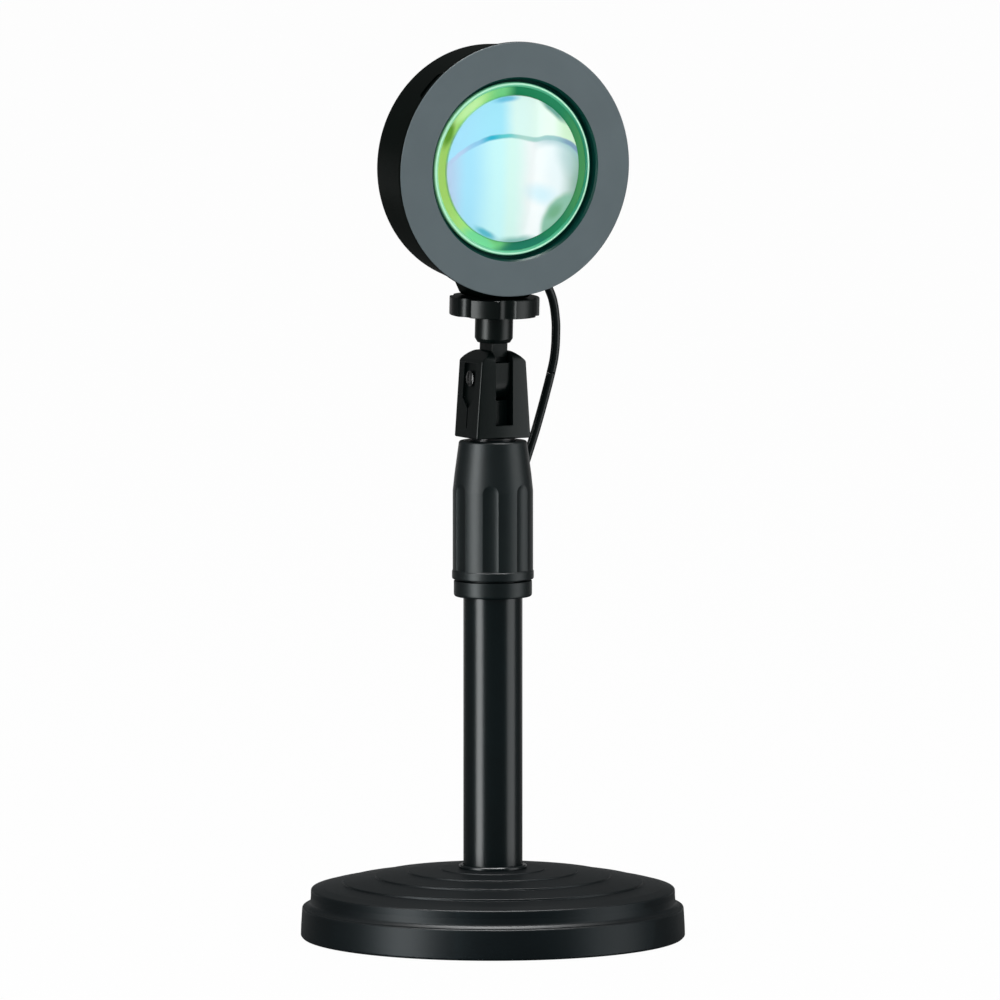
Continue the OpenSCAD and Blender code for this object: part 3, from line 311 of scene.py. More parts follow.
def prism(name, outline, low, high, pose=None, parts=4):
    """A straight piece: its outline of [x, y, easing] is extruded along Z and then placed."""
    draw(name, [Vector((x, y, low)) for x, y in eased(outline, parts)])
    bpy.ops.mesh.edge_face_add()
    bpy.ops.mesh.extrude_region_move(TRANSFORM_OT_translate={"value": (0, 0, (high - low) * MM)})
    o = close_up()
    return place(o, pose) if pose else o


def pick(o):
    """Selects one piece alone and makes it the active one."""
    bpy.ops.object.select_all(action="DESELECT")
    o.select_set(True)
    bpy.context.view_layer.objects.active = o


def place(o, pose):
    """Sets a piece in its place and keeps the place in its mesh."""
    pick(o)
    o.matrix_world = pose
    bpy.ops.object.transform_apply(location=True, rotation=True, scale=True)
    return o


def shift(x, y, z):
    return Matrix.Translation((x * MM, y * MM, z * MM))


def turn(degrees, axis):
    return Matrix.Rotation(math.radians(degrees), 4, axis)


def work(o, operation, tools):
    """Cuts, joins or crops a piece with other solids, which are used up."""
    for tool in tools:
        modifier = o.modifiers.new("work", "BOOLEAN")
        modifier.operation = operation
        modifier.object = tool
        modifier.solver = "EXACT"
        pick(o)
        bpy.ops.object.modifier_apply(modifier="work")
        bpy.data.objects.remove(tool)
    return o


def cut(o, *tools):
    return work(o, "DIFFERENCE", tools)


def weld(o, *tools):
    return work(o, "UNION", tools)


def crop(o, *tools):
    return work(o, "INTERSECT", tools)


def soften(o, width, angle=36, segments=3):
    """Rounds the sharp edges of a piece by a width in millimetres."""
    modifier = o.modifiers.new("edges", "BEVEL")
    modifier.width = width * MM
    modifier.segments = segments
    modifier.limit_method = "ANGLE"
    modifier.angle_limit = math.radians(angle)
    modifier.miter_outer = "MITER_ARC"
    pick(o)
    bpy.ops.object.modifier_apply(modifier="edges")
    bpy.ops.object.shade_smooth_by_angle(angle=SMOOTH_ANGLE)
    return o


def finish_piece(o, body, slot, finish, *replaced):
    """Dresses a finished piece, and hangs it on its body in place of its CAD nodes."""
    o.modifiers.new("flats", "WEIGHTED_NORMAL").keep_sharp = True
    pick(o)
    bpy.ops.object.modifier_apply(modifier="flats")
    dress(finish, o)
    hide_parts(*replaced)
    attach(o, body)
    return o


BASE_R, RIM_H, TOP_R, TOP_EDGE, FOOT = 64.7, 10.4, 61.3, 16.25, 23.35


def dome(r):
    return FOOT - 7.1 * (max(0, r - 11) / (TOP_R - 11)) ** 1.9


steps = []
for k in range(4):
    edge_r, rise = TOP_R - 10.7 - 11 * k, 0.7 * (1 - 0.2 * k)
    steps += [[edge_r + 0.05, dome(edge_r) - rise, 0.1], [edge_r - 0.05, dome(edge_r), 0.32]]
    if k < 3:
        steps.append([edge_r - 5.5, dome(edge_r - 5.5) - rise * 0.35, 0])
base_cover = turned("base_cover_pressed", [
    [BASE_R - 0.6, 0.1, 0.2], [BASE_R, 0.7, 0.8], [BASE_R - 0.1, 4, 0],
    [BASE_R - 0.5, RIM_H - 0.05, 0.75], [BASE_R - 1.9, RIM_H + 0.1, 0.5],
    [TOP_R + 0.25, RIM_H + 1.0, 2.0], [TOP_R + 0.02, RIM_H + 3.4, 1.2],
    [TOP_R - 0.02, TOP_EDGE, 0.75], [TOP_R - 4, dome(TOP_R - 4), 1.5]]
    + steps + [[10.1, FOOT, 0.1], [10.1, FOOT - 1.6, 0], [39.6, 16.9, 3], [59.6, 14.6, 1.2],
               [62.4, 9.6, 1], [63.0, 0.1, 0.2]], steps=224)
cover_paint = finish_of("cover_paint", (0.0014, 0.0034, 0.0042), sheen_coat=0.06, coat_rough=0.42,
                        grain=1500, relief=0.10)
finish_piece(base_cover, "root", "cover_black", cover_paint, "base_cover")

# ---------------------------------------------------------------- weight, pad and base screw
# A round steel weight lies under the cover, a black foam ring keeps it off the table, and one
# countersunk screw draws both up against the foot of the pole.
foam_pad = turned("foam_ring", [[12, 0, 0.3], [60.3, 0, 0.5], [60.3, 2, 0.4], [12, 2, 0.3]],
                  steps=160)
finish_piece(foam_pad, "root", "foam_black",
             finish_of("foam", (0.012, 0.012, 0.013), rough=0.9, sheen_coat=0, grain=2200,
                       relief=0.9, tone=0.3), "base_pad")
steel = finish_of("plain_steel", (0.42, 0.43, 0.44), rough=0.32, sheen_coat=0, metal=1.0,
                  grain=900, specular=0.5)
dress(steel, "base_weight", "base_screw", "tube_foot")

# ---------------------------------------------------------------- lower tube and its foot ring
# Steel tube painted a smooth semi-gloss black, which mirrors the soft lamps as two long streaks.
# A moulded ring hides its foot.
tube_paint = finish_of("tube_paint", (0.0014, 0.0040, 0.0046), rough=0.3, sheen_coat=0.10,
                       coat_rough=0.26, grain=1400, relief=0.05)
lower_tube = turned("lower_tube_painted", [
    [8.95, 23.35, 0.1], [9.95, 23.35, 0.1], [9.95, 130.3, 0.3], [8.95, 130.3, 0.2]], steps=160)
finish_piece(lower_tube, "root", "tube_black", tube_paint, "lower_tube")
foot_ring = turned("foot_ring_moulded", [
    [10, 23.35, 0], [11.45, 23.35, 0.1], [11.4, 24.2, 0.35], [10.95, 24.55, 0.2],
    [10, 24.55, 0.15]], steps=160)
finish_piece(foot_ring, "root", "tube_black", tube_paint, "foot_ring")

# ---------------------------------------------------------------- twist lock
# A fixed collar carries the thread, and the grip screws down on it and squeezes a slit nylon
# collet. Both are moulded in black nylon with a satin skin; seven flutes give the grip its hold.
satin_black = finish_of("satin_moulding", (0.0022, 0.0048, 0.0052), rough=0.4, sheen_coat=0.10,
                        coat_rough=0.40, grain=2200, relief=0.14)
collar = turned("lock_collar_moulded", [
    [10, 115.1, 0.1], [13.15, 115.1, 1.1], [13.15, 120.55, 0.35], [11.15, 120.55, 0.1],
    [11.15, 129.6, 0.2], [10.6, 130.3, 0.2], [10, 130.3, 0]], steps=144)
for k in range(4):
    ridge_z = 122.35 + 2.1 * k
    weld(collar, turned("thread_ridge", [[10.9, ridge_z - 0.8, 0], [11.55, ridge_z - 0.2, 0.1],
                                         [11.55, ridge_z + 0.2, 0.1], [10.9, ridge_z + 0.8, 0]],
                        steps=144, parts=2))
pick(collar)
bpy.ops.object.shade_smooth_by_angle(angle=SMOOTH_ANGLE)
finish_piece(collar, "root", "grip_black", satin_black, "lock_collar")
grip = turned("grip_fluted", [
    [11.85, 121.05, 0.2], [13.75, 121.05, 0.6], [13.75, 123.75, 0.45], [13.52, 124.0, 0.1],
    [13.5, 150.8, 4], [12.9, 156.4, 4], [11.65, 165.6, 2], [11.4, 167.6, 0.9],
    [7.8, 167.6, 0.3], [7.8, 152.4, 0], [9.7, 144.4, 0], [9.7, 136.4, 0], [11.85, 135.4, 0]],
    steps=168, parts=6)
FLUTES, FLUTE_R, FLUTE_RING, FLUTE_START = 7, 8.13, 20.93, 240
for k in range(FLUTES):
    a = math.radians(FLUTE_START + 360 * k / FLUTES)
    flute = turned("flute", [
        [0, 124.15, 0], [FLUTE_R, 124.15, 0.15], [FLUTE_R, 151.9, 5], [FLUTE_R - 1.75, 158, 0],
        [0, 158, 0]], steps=160)
    place(flute, shift(math.cos(a) * FLUTE_RING, math.sin(a) * FLUTE_RING, 0))
    cut(grip, flute)
soften(grip, 0.16, angle=18, segments=2)
finish_piece(grip, "grip", "grip_black", satin_black, "lock_grip")
nylon = finish_of("plain_nylon", (0.70, 0.71, 0.68), rough=0.5, sheen_coat=0, grain=900,
                  specular=0.4)
dress(nylon, "lock_collet", "tube_glide")

# ---------------------------------------------------------------- upper tube
# The tube that slides in the lower one, painted like it, with a black-anodised plug in its top
# for the spigot of the tilt head.
upper_tube = turned("upper_tube_painted", [
    [6.5, 34.35, 0.1], [7.5, 34.35, 0.2], [7.5, 168.1, 0.25], [6.5, 168.1, 0.1]], steps=144)
finish_piece(upper_tube, "riser", "tube_black", tube_paint, "upper_tube")
dress(finish_of("anodised_plug", (0.02, 0.021, 0.022), rough=0.35, sheen_coat=0.1), "tube_plug")

# ---------------------------------------------------------------- tilt housing
# Two ears moulded in one with the foot that turns on the pole, in glass-filled black nylon. A
# slot between them takes the knuckle, and each side has a shield-shaped recess for the pivot.
HOUSING_Z, PIVOT_Z, EAR_X, CROWN_R = 168.7, 188.7, 8.12, 110
UPRIGHT = turn(90, "X")                       # drawn in the front view
SIDEWAYS = turn(90, "Z") @ turn(90, "X")      # drawn in the side view
tilt_housing = crop(
    prism("tilt_housing_moulded", [[-10.2, 0, 0], [10.2, 0, 0], [8.35, 26, 0], [3.9, 29.5, 0],
                                   [-3.9, 29.5, 0], [-8.35, 26, 0]],
          -9, 9, shift(0, 0, HOUSING_Z) @ UPRIGHT),
    prism("crowned_front", [[-11, 8.75, 0], [-11, -8.2, 0]]
          + [[x, CROWN_R - 8.75 - math.sqrt(CROWN_R ** 2 - x * x), 0]
             for x in (-9, -6, -3, 0, 3, 6, 9)]
          + [[11, -8.2, 0], [11, 8.75, 0]], 165, 202))
soften(tilt_housing, 0.65, segments=4)
crop(tilt_housing,
     prism("housing_front", [[-10.3, -0.1, 0.8], [10.3, -0.1, 0.8], [8.45, 26, 3.6],
                             [3.9, 29.4, 2.4], [-3.9, 29.4, 2.4], [-8.45, 26, 3.6]],
           -12, 12, shift(0, 0, HOUSING_Z) @ UPRIGHT, parts=8),
     prism("housing_side", [[-8.85, -0.1, 0.2], [8.85, -0.1, 0.2], [8.85, 28.7, 6.8],
                            [0, 29.95, 3], [-8.85, 28.7, 6.8]],
           -12, 12, shift(0, 0, HOUSING_Z) @ SIDEWAYS, parts=12))
cut(tilt_housing, prism(
    "knuckle_slot", [[-12, 4.4, 0], [-4.15, 4.4, 0.3], [-4.15, 12.6, 0]]
    + arc(0, 20, 7.4, -90, 0) + [[7.4, 42, 0], [-12, 42, 0]],
    -3.2, 3.2, shift(0, 0, HOUSING_Z) @ SIDEWAYS))
for side in (-1, 1):
    lean_side = shift(side * 8.743, 0, PIVOT_Z) @ turn(-side * 4.17, "Y") @ SIDEWAYS
    cut(tilt_housing, prism("shield_recess", [
        [-4.3, 5.2, 0.9], [4.3, 5.2, 0.9], [4.3, -6.6, 0.6], [0, -10.3, 0.5],
        [-4.3, -6.6, 0.6]], -1.1, 0.9, lean_side))
    cut(tilt_housing, prism("groove", [
        [-0.32, -9.4, 0], [0.32, -9.4, 0], [0.32, -16.8, 0.3], [-0.32, -16.8, 0.3]],
        -0.55, 0.9, lean_side))
soften(tilt_housing, 0.28)
tilt_black = finish_of("tilt_moulding", (0.0005, 0.0020, 0.0018), rough=0.4, sheen_coat=0.085,
                       coat_rough=0.34, grain=1900, relief=0.12)
finish_piece(tilt_housing, "housing", "tilt_black", tilt_black, "tilt_housing")

# ---------------------------------------------------------------- pivot screw and nut
# A blackened screw crosses both ears. Its head has a driver slot and a punch mark under it; the
# hexagon nut at the far end is blackened too.
pivot_screw = place(turned("pivot_screw_blackened", [
    [0, -0.3, 0], [1.5, -0.3, 0], [1.5, 0, 0], [2.7, 0, 0.1], [2.7, 0.6, 0.3],
    [1.9, 1.0, 0.4], [0, 1.05, 0]], steps=96), shift(-EAR_X, 0, PIVOT_Z) @ turn(-90, "Y"))
cut(pivot_screw, prism("driver_slot", [[-0.27, -0.8, 0.1], [0.27, -0.8, 0.1],
                                       [0.36, 2.3, 0.1], [-0.36, 2.3, 0.1]], 8.62, 10,
                       shift(0, 0, PIVOT_Z) @ SIDEWAYS @ turn(180, "Y")))
cut(pivot_screw, place(turned("punch_mark", [[0, 0, 0], [0.42, 0, 0.1], [0.42, 2, 0], [0, 2, 0]],
                              steps=32), shift(-10.6, 0, PIVOT_Z - 1.75) @ turn(90, "Y")))
soften(pivot_screw, 0.06)
blackened = finish_of("blackened_steel", (0.003, 0.004, 0.004), rough=0.3, sheen_coat=0.25,
                      coat_rough=0.25, grain=1500, relief=0.08)
finish_piece(pivot_screw, "housing", "bare_steel", blackened, "pivot_screw")
pivot_nut = prism("pivot_nut_blackened",
                  [[3.1 * math.cos(math.radians(60 * k)), 3.1 * math.sin(math.radians(60 * k)),
                    0.1] for k in range(6)], 0, 1.6)
crop(pivot_nut, turned("nut_chamfer", [[0, -0.1, 0], [3.05, -0.1, 0], [3.05, 1.3, 0],
                                       [2.5, 1.6, 0], [0, 1.6, 0]], steps=96))
cut(pivot_nut, turned("nut_bore", [[0, 0.9, 0], [1.2, 0.9, 0], [1.5, 2, 0], [0, 2, 0]], steps=64))
place(pivot_nut, shift(EAR_X, 0, PIVOT_Z) @ turn(90, "Y"))
soften(pivot_nut, 0.08)
finish_piece(pivot_nut, "housing", "bare_steel", blackened, "pivot_nut")

# ---------------------------------------------------------------- knuckle, tongue and post
# One moulding: a round knuckle between the ears, a flat tongue and a post that carries the stud
# and the lock wheel. With the head, it leans forward 2.7 degrees about the pivot.
LEAN = shift(0, 0, PIVOT_Z) @ turn(2.7, "X") @ shift(0, 0, -PIVOT_Z)
stem = prism("knuckle_and_post", arc(0, 0, 7.1, 180, 360, 40)
             + [[7.1, 5.8, 0.3], [3.8, 5.8, 0.3], [3.8, 8.5, 0], [-3.8, 8.5, 0],
                [-3.8, 5.8, 0.3], [-7.1, 5.8, 0.3]],
             -2.95, 2.95, shift(0, 0, PIVOT_Z) @ SIDEWAYS)
weld(stem, crop(
    prism("tongue", [[-2.95, -4.74, 0.35], [2.95, -4.74, 0.35], [2.95, 4.74, 0.35],
                     [-2.95, 4.74, 0.35]], 196.3, 203),
    turned("tongue_round", [[0, 196.3, 0], [5.6, 196.3, 0.2], [5.6, 203, 0], [0, 203, 0]],
           steps=96)))
weld(stem, turned("post", [[0, 200.75, 0], [5.5, 200.75, 0.2], [6.4, 202.2, 0.4],
                           [6.4, 209.85, 0.2], [0, 209.85, 0]], steps=128))
soften(stem, 0.22)
place(stem, LEAN)
finish_piece(stem, "stem", "tilt_black", tilt_black, "tilt_stem")
dress(steel, "stem_stud")

# ---------------------------------------------------------------- lock wheel
# A round nut in the same moulding, with six finger scallops, that locks the head on the stud.
wheel = turned("lock_wheel_moulded", [[3.25, 209.95, 0.2], [15.1, 209.95, 0.4],
                                      [15.1, 216.15, 0.4], [3.25, 216.15, 0.2]], steps=192)
SCALLOP_RING, SCALLOP_START = 17.778, 21
for k in range(6):
    a = math.radians(SCALLOP_START + 60 * k)
    cut(wheel, place(turned("scallop", [[0, 205, 0], [4.228, 205, 0], [4.228, 221, 0],
                                        [0, 221, 0]], steps=96),
                     shift(math.cos(a) * SCALLOP_RING, math.sin(a) * SCALLOP_RING, 0)))
soften(wheel, 0.3)
place(wheel, LEAN)
finish_piece(wheel, "wheel", "tilt_black", tilt_black, "lock_wheel")

# ---------------------------------------------------------------- head shell
# A shallow drum moulded in black, a little narrower at the back, with cooling slots in its back,
# a boss for the stud under it and a notch at the seam for prying the bezel off.
HEAD_Z, BOSS_Z, SLOTS, SLOT_PITCH, SLOT_FIELD_R = 260.15, 216.25, 7, 5, 22
STANDING = shift(0, 0, HEAD_Z) @ UPRIGHT      # drawn along the lamp's own axis
FACE = LEAN @ STANDING
shell = turned("head_shell_moulded", [
    [0, -11.5, 0], [39.8, -11.5, 2.6], [42, 11.6, 0.3], [40.2, 11.6, 0.15],
    [38, -9.2, 0.8], [0, -9.7, 0]], steps=224, parts=8)
cut(shell, prism("pry_notch", [[-1, -6.5, 0], [0, -6.5, 0], [3.9, -4.5, 0.5], [3.9, 4.5, 0.5],
                               [0, 6.5, 0], [-1, 6.5, 0]], 0, 6,
                 turn(136.5, "Z") @ shift(39, 0, 11.6) @ turn(90, "Y")))
for k in range(SLOTS):
    y = (k - SLOTS // 2) * SLOT_PITCH
    half = math.sqrt(SLOT_FIELD_R ** 2 - y * y)
    cut(shell, prism("cooling_slot", [[-half, y - 0.9, 0.85], [half, y - 0.9, 0.85],
                                      [half, y + 0.9, 0.85], [-half, y + 0.9, 0.85]], -13, -8))
place(shell, STANDING)
boss = crop(
    prism("boss", [[-9.2, 1, 0.3], [-8.4, 0, 0.3], [8.4, 0, 0.3], [9.2, 1, 0.3], [11.2, 6, 0],
                   [11.2, 14, 0], [-11.2, 14, 0], [-11.2, 6, 0]], -20, 20,
          shift(0, 0, BOSS_Z) @ UPRIGHT),
    prism("boss_side", [[-8.2, 1, 0.3], [-7.6, 0, 0.3], [7.6, 0, 0.3], [8.2, 1, 0.3],
                        [9.4, 6, 0], [9.4, 14, 0], [-9.4, 14, 0], [-9.4, 6, 0]], -20, 20,
          shift(0, 0, BOSS_Z) @ SIDEWAYS))
cut(boss, place(turned("hollow", [[0, -14, 0], [38.6, -14, 0], [41, 14, 0], [0, 14, 0]],
                       steps=224), STANDING))
weld(shell, boss)
soften(shell, 0.18)
place(shell, LEAN)
shell_black = finish_of("shell_moulding", (0.0004, 0.0018, 0.0012), rough=0.4, sheen_coat=0.03,
                        coat_rough=0.30, grain=1800, relief=0.10)
finish_piece(shell, "head", "shell_black", shell_black, "head_shell")
brass = finish_of("turned_brass", (0.62, 0.43, 0.17), rough=0.3, sheen_coat=0, metal=1.0,
                  grain=900, specular=0.5)
dress(brass, "stud_insert")

# ---------------------------------------------------------------- bezel
# A front ring with a face in satin graphite paint. Its window is a short tube with a narrow lip
# at the bottom that holds the lens; its wall is a painted reflection of the green lens in deep
# green. Its outer side and back are black.
bezel = turned("bezel_painted", [
    [30.95, 13.6, 0.12], [30.3, 12.9, 0.3], [30.3, 9.1, 0.1], [28.8, 9.1, 0.2],
    [28.8, 8.3, 0.1], [30.3, 8.3, 0], [30.3, 4.1, 0], [31.9, 4.1, 0.2], [31.9, 11.9, 0.1],
    [38.3, 11.9, 0.1], [38.5, 7.7, 0.2], [39.75, 7.7, 0.4], [39.9, 11.9, 0],
    [42.65, 11.9, 0.12], [42.65, 13.6, 0.42]], steps=224)
face_grey = finish_of("graphite_paint", (0.098, 0.124, 0.134), rough=0.45, sheen_coat=0.06,
                      coat_rough=0.36, grain=2600, relief=0.06, tone=0.04)
# painted reflection: the window wall's deep green stands in for the green lens reflected in it
window_reflection_green = finish_of("painted_green_reflection", (0.002, 0.036, 0.028), rough=0.3, sheen_coat=0.03,
                         coat_rough=0.3, grain=1800, relief=0.05)
finish_piece(bezel, "head", "bezel_grey", face_grey, "bezel")
bezel.data.materials.append(window_reflection_green)
bezel.data.materials.append(shell_black)
WINDOW_R, WINDOW_TOP, SIDE_R, BACK_TOP = 30.85, 13.5, 42.6, 12.8
for polygon in bezel.data.polygons:
    middle = polygon.center / MM
    if middle.xy.length < WINDOW_R and middle.z < WINDOW_TOP:
        polygon.material_index = 1
    elif middle.xy.length > SIDE_R or middle.z < BACK_TOP:
        polygon.material_index = 2
place(bezel, FACE)

# ---------------------------------------------------------------- lens
# A coated glass lens: a low dome inside a flat flange, with a raised glossy rim. Its colour is
# a painted reflection of the bright studio in pale blue, mint and white, with painted shade in
# deep green where it turns away.
DOME_R, DOME_Z, DOME_H, DOME_SWEEP = 24.4, 11.8, 1.6, 0.26
lens = turned("lens_coated", [
    [0, 6.5, 0], [30.1, 6.5, 0.1], [30.1, 8.2, 0.1], [28.6, 8.2, 0], [28.6, 9.4, 0.1],
    [29.05, 9.7, 0.2], [29.05, 11.4, 0.65], [27.65, 11.4, 0.6], [27.4, 10.6, 0.3],
    [24.7, 10.5, 0.15], [24.55, 11.7, 0.3]]
    + [[DOME_R * math.sin(t) / math.sin(DOME_SWEEP), DOME_Z + DOME_H
        * (math.cos(t) - math.cos(DOME_SWEEP)) / (1 - math.cos(DOME_SWEEP)), 0]
       for t in (DOME_SWEEP * (10 - k) / 10 for k in range(11))], steps=192)
# the lens colours below are painted reflections, painted shade and a painted highlight
lens_reflection_paint = bpy.data.materials.new("lens_painted_reflections")
lens_reflection_paint.use_nodes = True
nodes, links = lens_reflection_paint.node_tree.nodes, lens_reflection_paint.node_tree.links
shader = nodes["Principled BSDF"]
shader.inputs["Coat Weight"].default_value = 0.1
shader.inputs["Coat Roughness"].default_value = 0.04
shader.inputs["Roughness"].default_value = 0.25
shader.inputs["Specular IOR Level"].default_value = 0.0
spot = nodes.new("ShaderNodeTexCoord")
to_face = nodes.new("ShaderNodeMapping")       # millimetres across, up and out of the face
inward = FACE.inverted()
to_face.inputs["Scale"].default_value = (1000, 1000, 1000)
to_face.inputs["Rotation"].default_value = inward.to_euler()
to_face.inputs["Location"].default_value = inward.translation * 1000
links.new(spot.outputs["Object"], to_face.inputs["Vector"])
parts = nodes.new("ShaderNodeSeparateXYZ")
links.new(to_face.outputs["Vector"], parts.inputs["Vector"])
flat = nodes.new("ShaderNodeCombineXYZ")
links.new(parts.outputs["X"], flat.inputs["X"])
links.new(parts.outputs["Y"], flat.inputs["Y"])
wobble = nodes.new("ShaderNodeTexNoise")        # lets the edges of the tints wander a little
wobble.inputs["Scale"].default_value = 0.11
wobble.inputs["Detail"].default_value = 2
links.new(flat.outputs["Vector"], wobble.inputs["Vector"])
drift = nodes.new("ShaderNodeVectorMath")
drift.operation = "MULTIPLY_ADD"
links.new(wobble.outputs["Color"], drift.inputs[0])
drift.inputs[1].default_value = (1.6, 1.6, 0)
drift.inputs[2].default_value = (-0.8, -0.8, 0)
wander = nodes.new("ShaderNodeVectorMath")
links.new(flat.outputs["Vector"], wander.inputs[0])
links.new(drift.outputs["Vector"], wander.inputs[1])
radius = nodes.new("ShaderNodeVectorMath")
radius.operation = "LENGTH"
links.new(flat.outputs["Vector"], radius.inputs[0])


def tone(r, g, b):
    """A colour given as a painter's 0 to 255 values."""
    return tuple((c / 255 / 12.92 if c < 10.3 else ((c / 255 + 0.055) / 1.055) ** 2.4)
                 for c in (r, g, b)) + (1,)


def blended(below, above, amount):
    """Lays one colour over another, each a socket or a plain colour."""
    mix = nodes.new("ShaderNodeMix")
    mix.data_type = "RGBA"
    links.new(amount, mix.inputs["Factor"])
    for source, socket in ((below, mix.inputs["A"]), (above, mix.inputs["B"])):
        if isinstance(source, tuple):
            socket.default_value = source
        else:
            links.new(source, socket)
    return mix.outputs["Result"]


def bands(source, low, high, stops):
    """A colour that changes along a value, with stops of (value, colour)."""
    level = nodes.new("ShaderNodeMapRange")
    level.inputs["From Min"].default_value = low
    level.inputs["From Max"].default_value = high
    links.new(source, level.inputs["Value"])
    ramp = nodes.new("ShaderNodeValToRGB")
    ramp.color_ramp.interpolation = "EASE"
    elements = ramp.color_ramp.elements
    for _ in range(len(stops) - 2):
        elements.new(0.5)
    for element, (value, colour) in zip(elements, stops):
        element.position = (value - low) / (high - low)
        element.color = colour
    links.new(level.outputs["Result"], ramp.inputs["Fac"])
    return ramp.outputs["Color"]


def patch(x, y, wide, high, degrees=0.0, edge=0.5, strength=1.0):
    """A soft oval on the face: 1 inside it, 0 outside, over an edge given as a share."""
    oval = nodes.new("ShaderNodeMapping")
    oval.vector_type = "TEXTURE"
    oval.inputs["Location"].default_value = (x, y, 0)
    oval.inputs["Rotation"].default_value = (0, 0, math.radians(degrees))
    oval.inputs["Scale"].default_value = (wide, high, 1)
    links.new(wander.outputs["Vector"], oval.inputs["Vector"])
    ball = nodes.new("ShaderNodeTexGradient")
    ball.gradient_type = "SPHERICAL"
    links.new(oval.outputs["Vector"], ball.inputs["Vector"])
    level = nodes.new("ShaderNodeMapRange")
    level.interpolation_type = "SMOOTHSTEP"
    level.inputs["From Max"].default_value = edge
    level.inputs["To Max"].default_value = strength
    links.new(ball.outputs["Fac"], level.inputs["Value"])
    return level.outputs["Result"]


def disc(x, y, reach):
    """How far inside a circle on the face a point lies, in millimetres."""
    away = nodes.new("ShaderNodeVectorMath")
    away.operation = "DISTANCE"
    links.new(wander.outputs["Vector"], away.inputs[0])
    away.inputs[1].default_value = (x, y, 0)
    inner = nodes.new("ShaderNodeMath")
    inner.operation = "SUBTRACT"
    inner.inputs[0].default_value = reach
    links.new(away.outputs["Value"], inner.inputs[1])
    return inner.outputs["Value"]


def fade(source, low, high):
    """0 below a value and 1 above another, smooth between them."""
    level = nodes.new("ShaderNodeMapRange")
    level.interpolation_type = "SMOOTHSTEP"
    level.inputs["From Min"].default_value = low
    level.inputs["From Max"].default_value = high
    links.new(source, level.inputs["Value"])
    return level.outputs["Result"]


def inside(edge, soft):
    """1 within a radius of the lens and 0 beyond it."""
    return fade(radius.outputs["Value"], edge + soft, edge - soft)


def both(one, other):
    """The product of two amounts."""
    product = nodes.new("ShaderNodeMath")
    product.operation = "MULTIPLY"
    links.new(one, product.inputs[0])
    links.new(other, product.inputs[1])
    return product.outputs["Value"]


def reflection_spots(tint, *reflection_ovals):
    """Lays soft ovals of painted reflection or painted shade colour over a tint, each given as
    its colour and its patch.
    """
    for colour, oval in reflection_ovals:
        tint = blended(tint, tone(*colour), patch(*oval))
    return tint


moved = nodes.new("ShaderNodeSeparateXYZ")
links.new(wander.outputs["Vector"], moved.inputs["Vector"])
# the dome: a painted reflection, sky blue at the left, through mint, to white, with painted shade
# in grey-green at the far edge
dome_reflection = bands(moved.outputs["X"], -25, 25, [
    (-24, tone(182, 210, 238)), (-17, tone(165, 226, 248)), (-6, tone(198, 246, 247)),
    (-1, tone(212, 248, 240)), (7, tone(238, 246, 246)), (16, tone(226, 241, 243)),
    (24, tone(132, 176, 160))])
# painted reflection spots, and painted shade in grey-green at the lower right
dome_reflection = reflection_spots(
    dome_reflection, ((192, 233, 244), (10, -8.5, 9, 5, -15, 0.9, 0.7)),
    ((166, 205, 205), (19.5, 4, 5.5, 10, 20, 0.9, 0.6)),
    ((122, 184, 156), (21, -20, 11.5, 12.5, 0, 0.22)),
    ((84, 158, 112), (15.5, -14.5, 5, 3, 35, 0.8, 0.8)))
# above the arc: a painted reflection, sky blue at the left, milky mint at the right; under the
# arc at the right a painted shade, and along the arc a darker painted reflection line
arc_height = nodes.new("ShaderNodeMath")
arc_height.operation = "SMOOTH_MAX"
arc_height.inputs[2].default_value = 3
links.new(disc(-3, -18.1, 30), arc_height.inputs[0])
links.new(disc(13, -6, 16.9), arc_height.inputs[1])
below = fade(arc_height.outputs["Value"], -0.3, 0.3)
upper = bands(moved.outputs["X"], -25, 25, [
    (-22, tone(165, 226, 250)), (-6, tone(160, 228, 246)), (1, tone(215, 246, 240)),
    (14, tone(226, 248, 234)), (20, tone(200, 236, 200))])
shade = both(fade(arc_height.outputs["Value"], 4.5, 0.2), fade(moved.outputs["X"], 5, 13))
dome_reflection = blended(dome_reflection, tone(140, 190, 196), shade)
# painted reflection: the darker blue line along the arc
arc_reflection = bands(moved.outputs["X"], -25, 25, [
    (-21, tone(180, 208, 238)), (-14, tone(140, 200, 232)), (-9, tone(48, 178, 206)),
    (-4, tone(92, 198, 200)), (3, tone(168, 214, 204)), (14, tone(146, 196, 196)),
    (21, tone(110, 150, 180))])
dome_reflection = blended(dome_reflection, arc_reflection, fade(arc_height.outputs["Value"], 1.9, 1.1))
dome_reflection = blended(upper, dome_reflection, below)
# small spots of painted reflection colour where the dome meets its flange
dome_reflection = reflection_spots(
    dome_reflection, ((70, 180, 200), (-10, -21.4, 6.5, 2.0, -28, 0.8, 0.9)),
    ((120, 186, 176), (2, -24.3, 12, 2.6, 2, 0.8, 0.9)),
    ((30, 140, 122), (14.5, 19.5, 10, 1.9, -40, 0.8, 0.9)),
    ((100, 190, 222), (-3, 23.4, 6.5, 1.7, 6, 0.8, 0.9)))
# the flange: a painted reflection, lime at the left, with painted shade in dark green at the top
# and right, and jade below
flange_reflection = bands(moved.outputs["X"], -28, 28, [
    (-27, tone(168, 214, 108)), (-14, tone(176, 236, 140)), (-4, tone(120, 214, 140)),
    (2, tone(30, 134, 88)), (17, tone(40, 138, 96)), (27, tone(74, 152, 92))])
flange_reflection = reflection_spots(
    flange_reflection, ((88, 150, 40), (-23.5, 12, 2.2, 6.5, -24, 0.7, 0.9)),
    ((205, 250, 180), (-15.5, 20.5, 10, 3.2, 38, 0.8, 0.9)),
    ((120, 226, 165), (-12, -23.5, 9, 3, -28, 0.6, 0.9)),
    ((36, 128, 104), (6, -26.5, 17, 4, 8, 0.6, 0.9)))
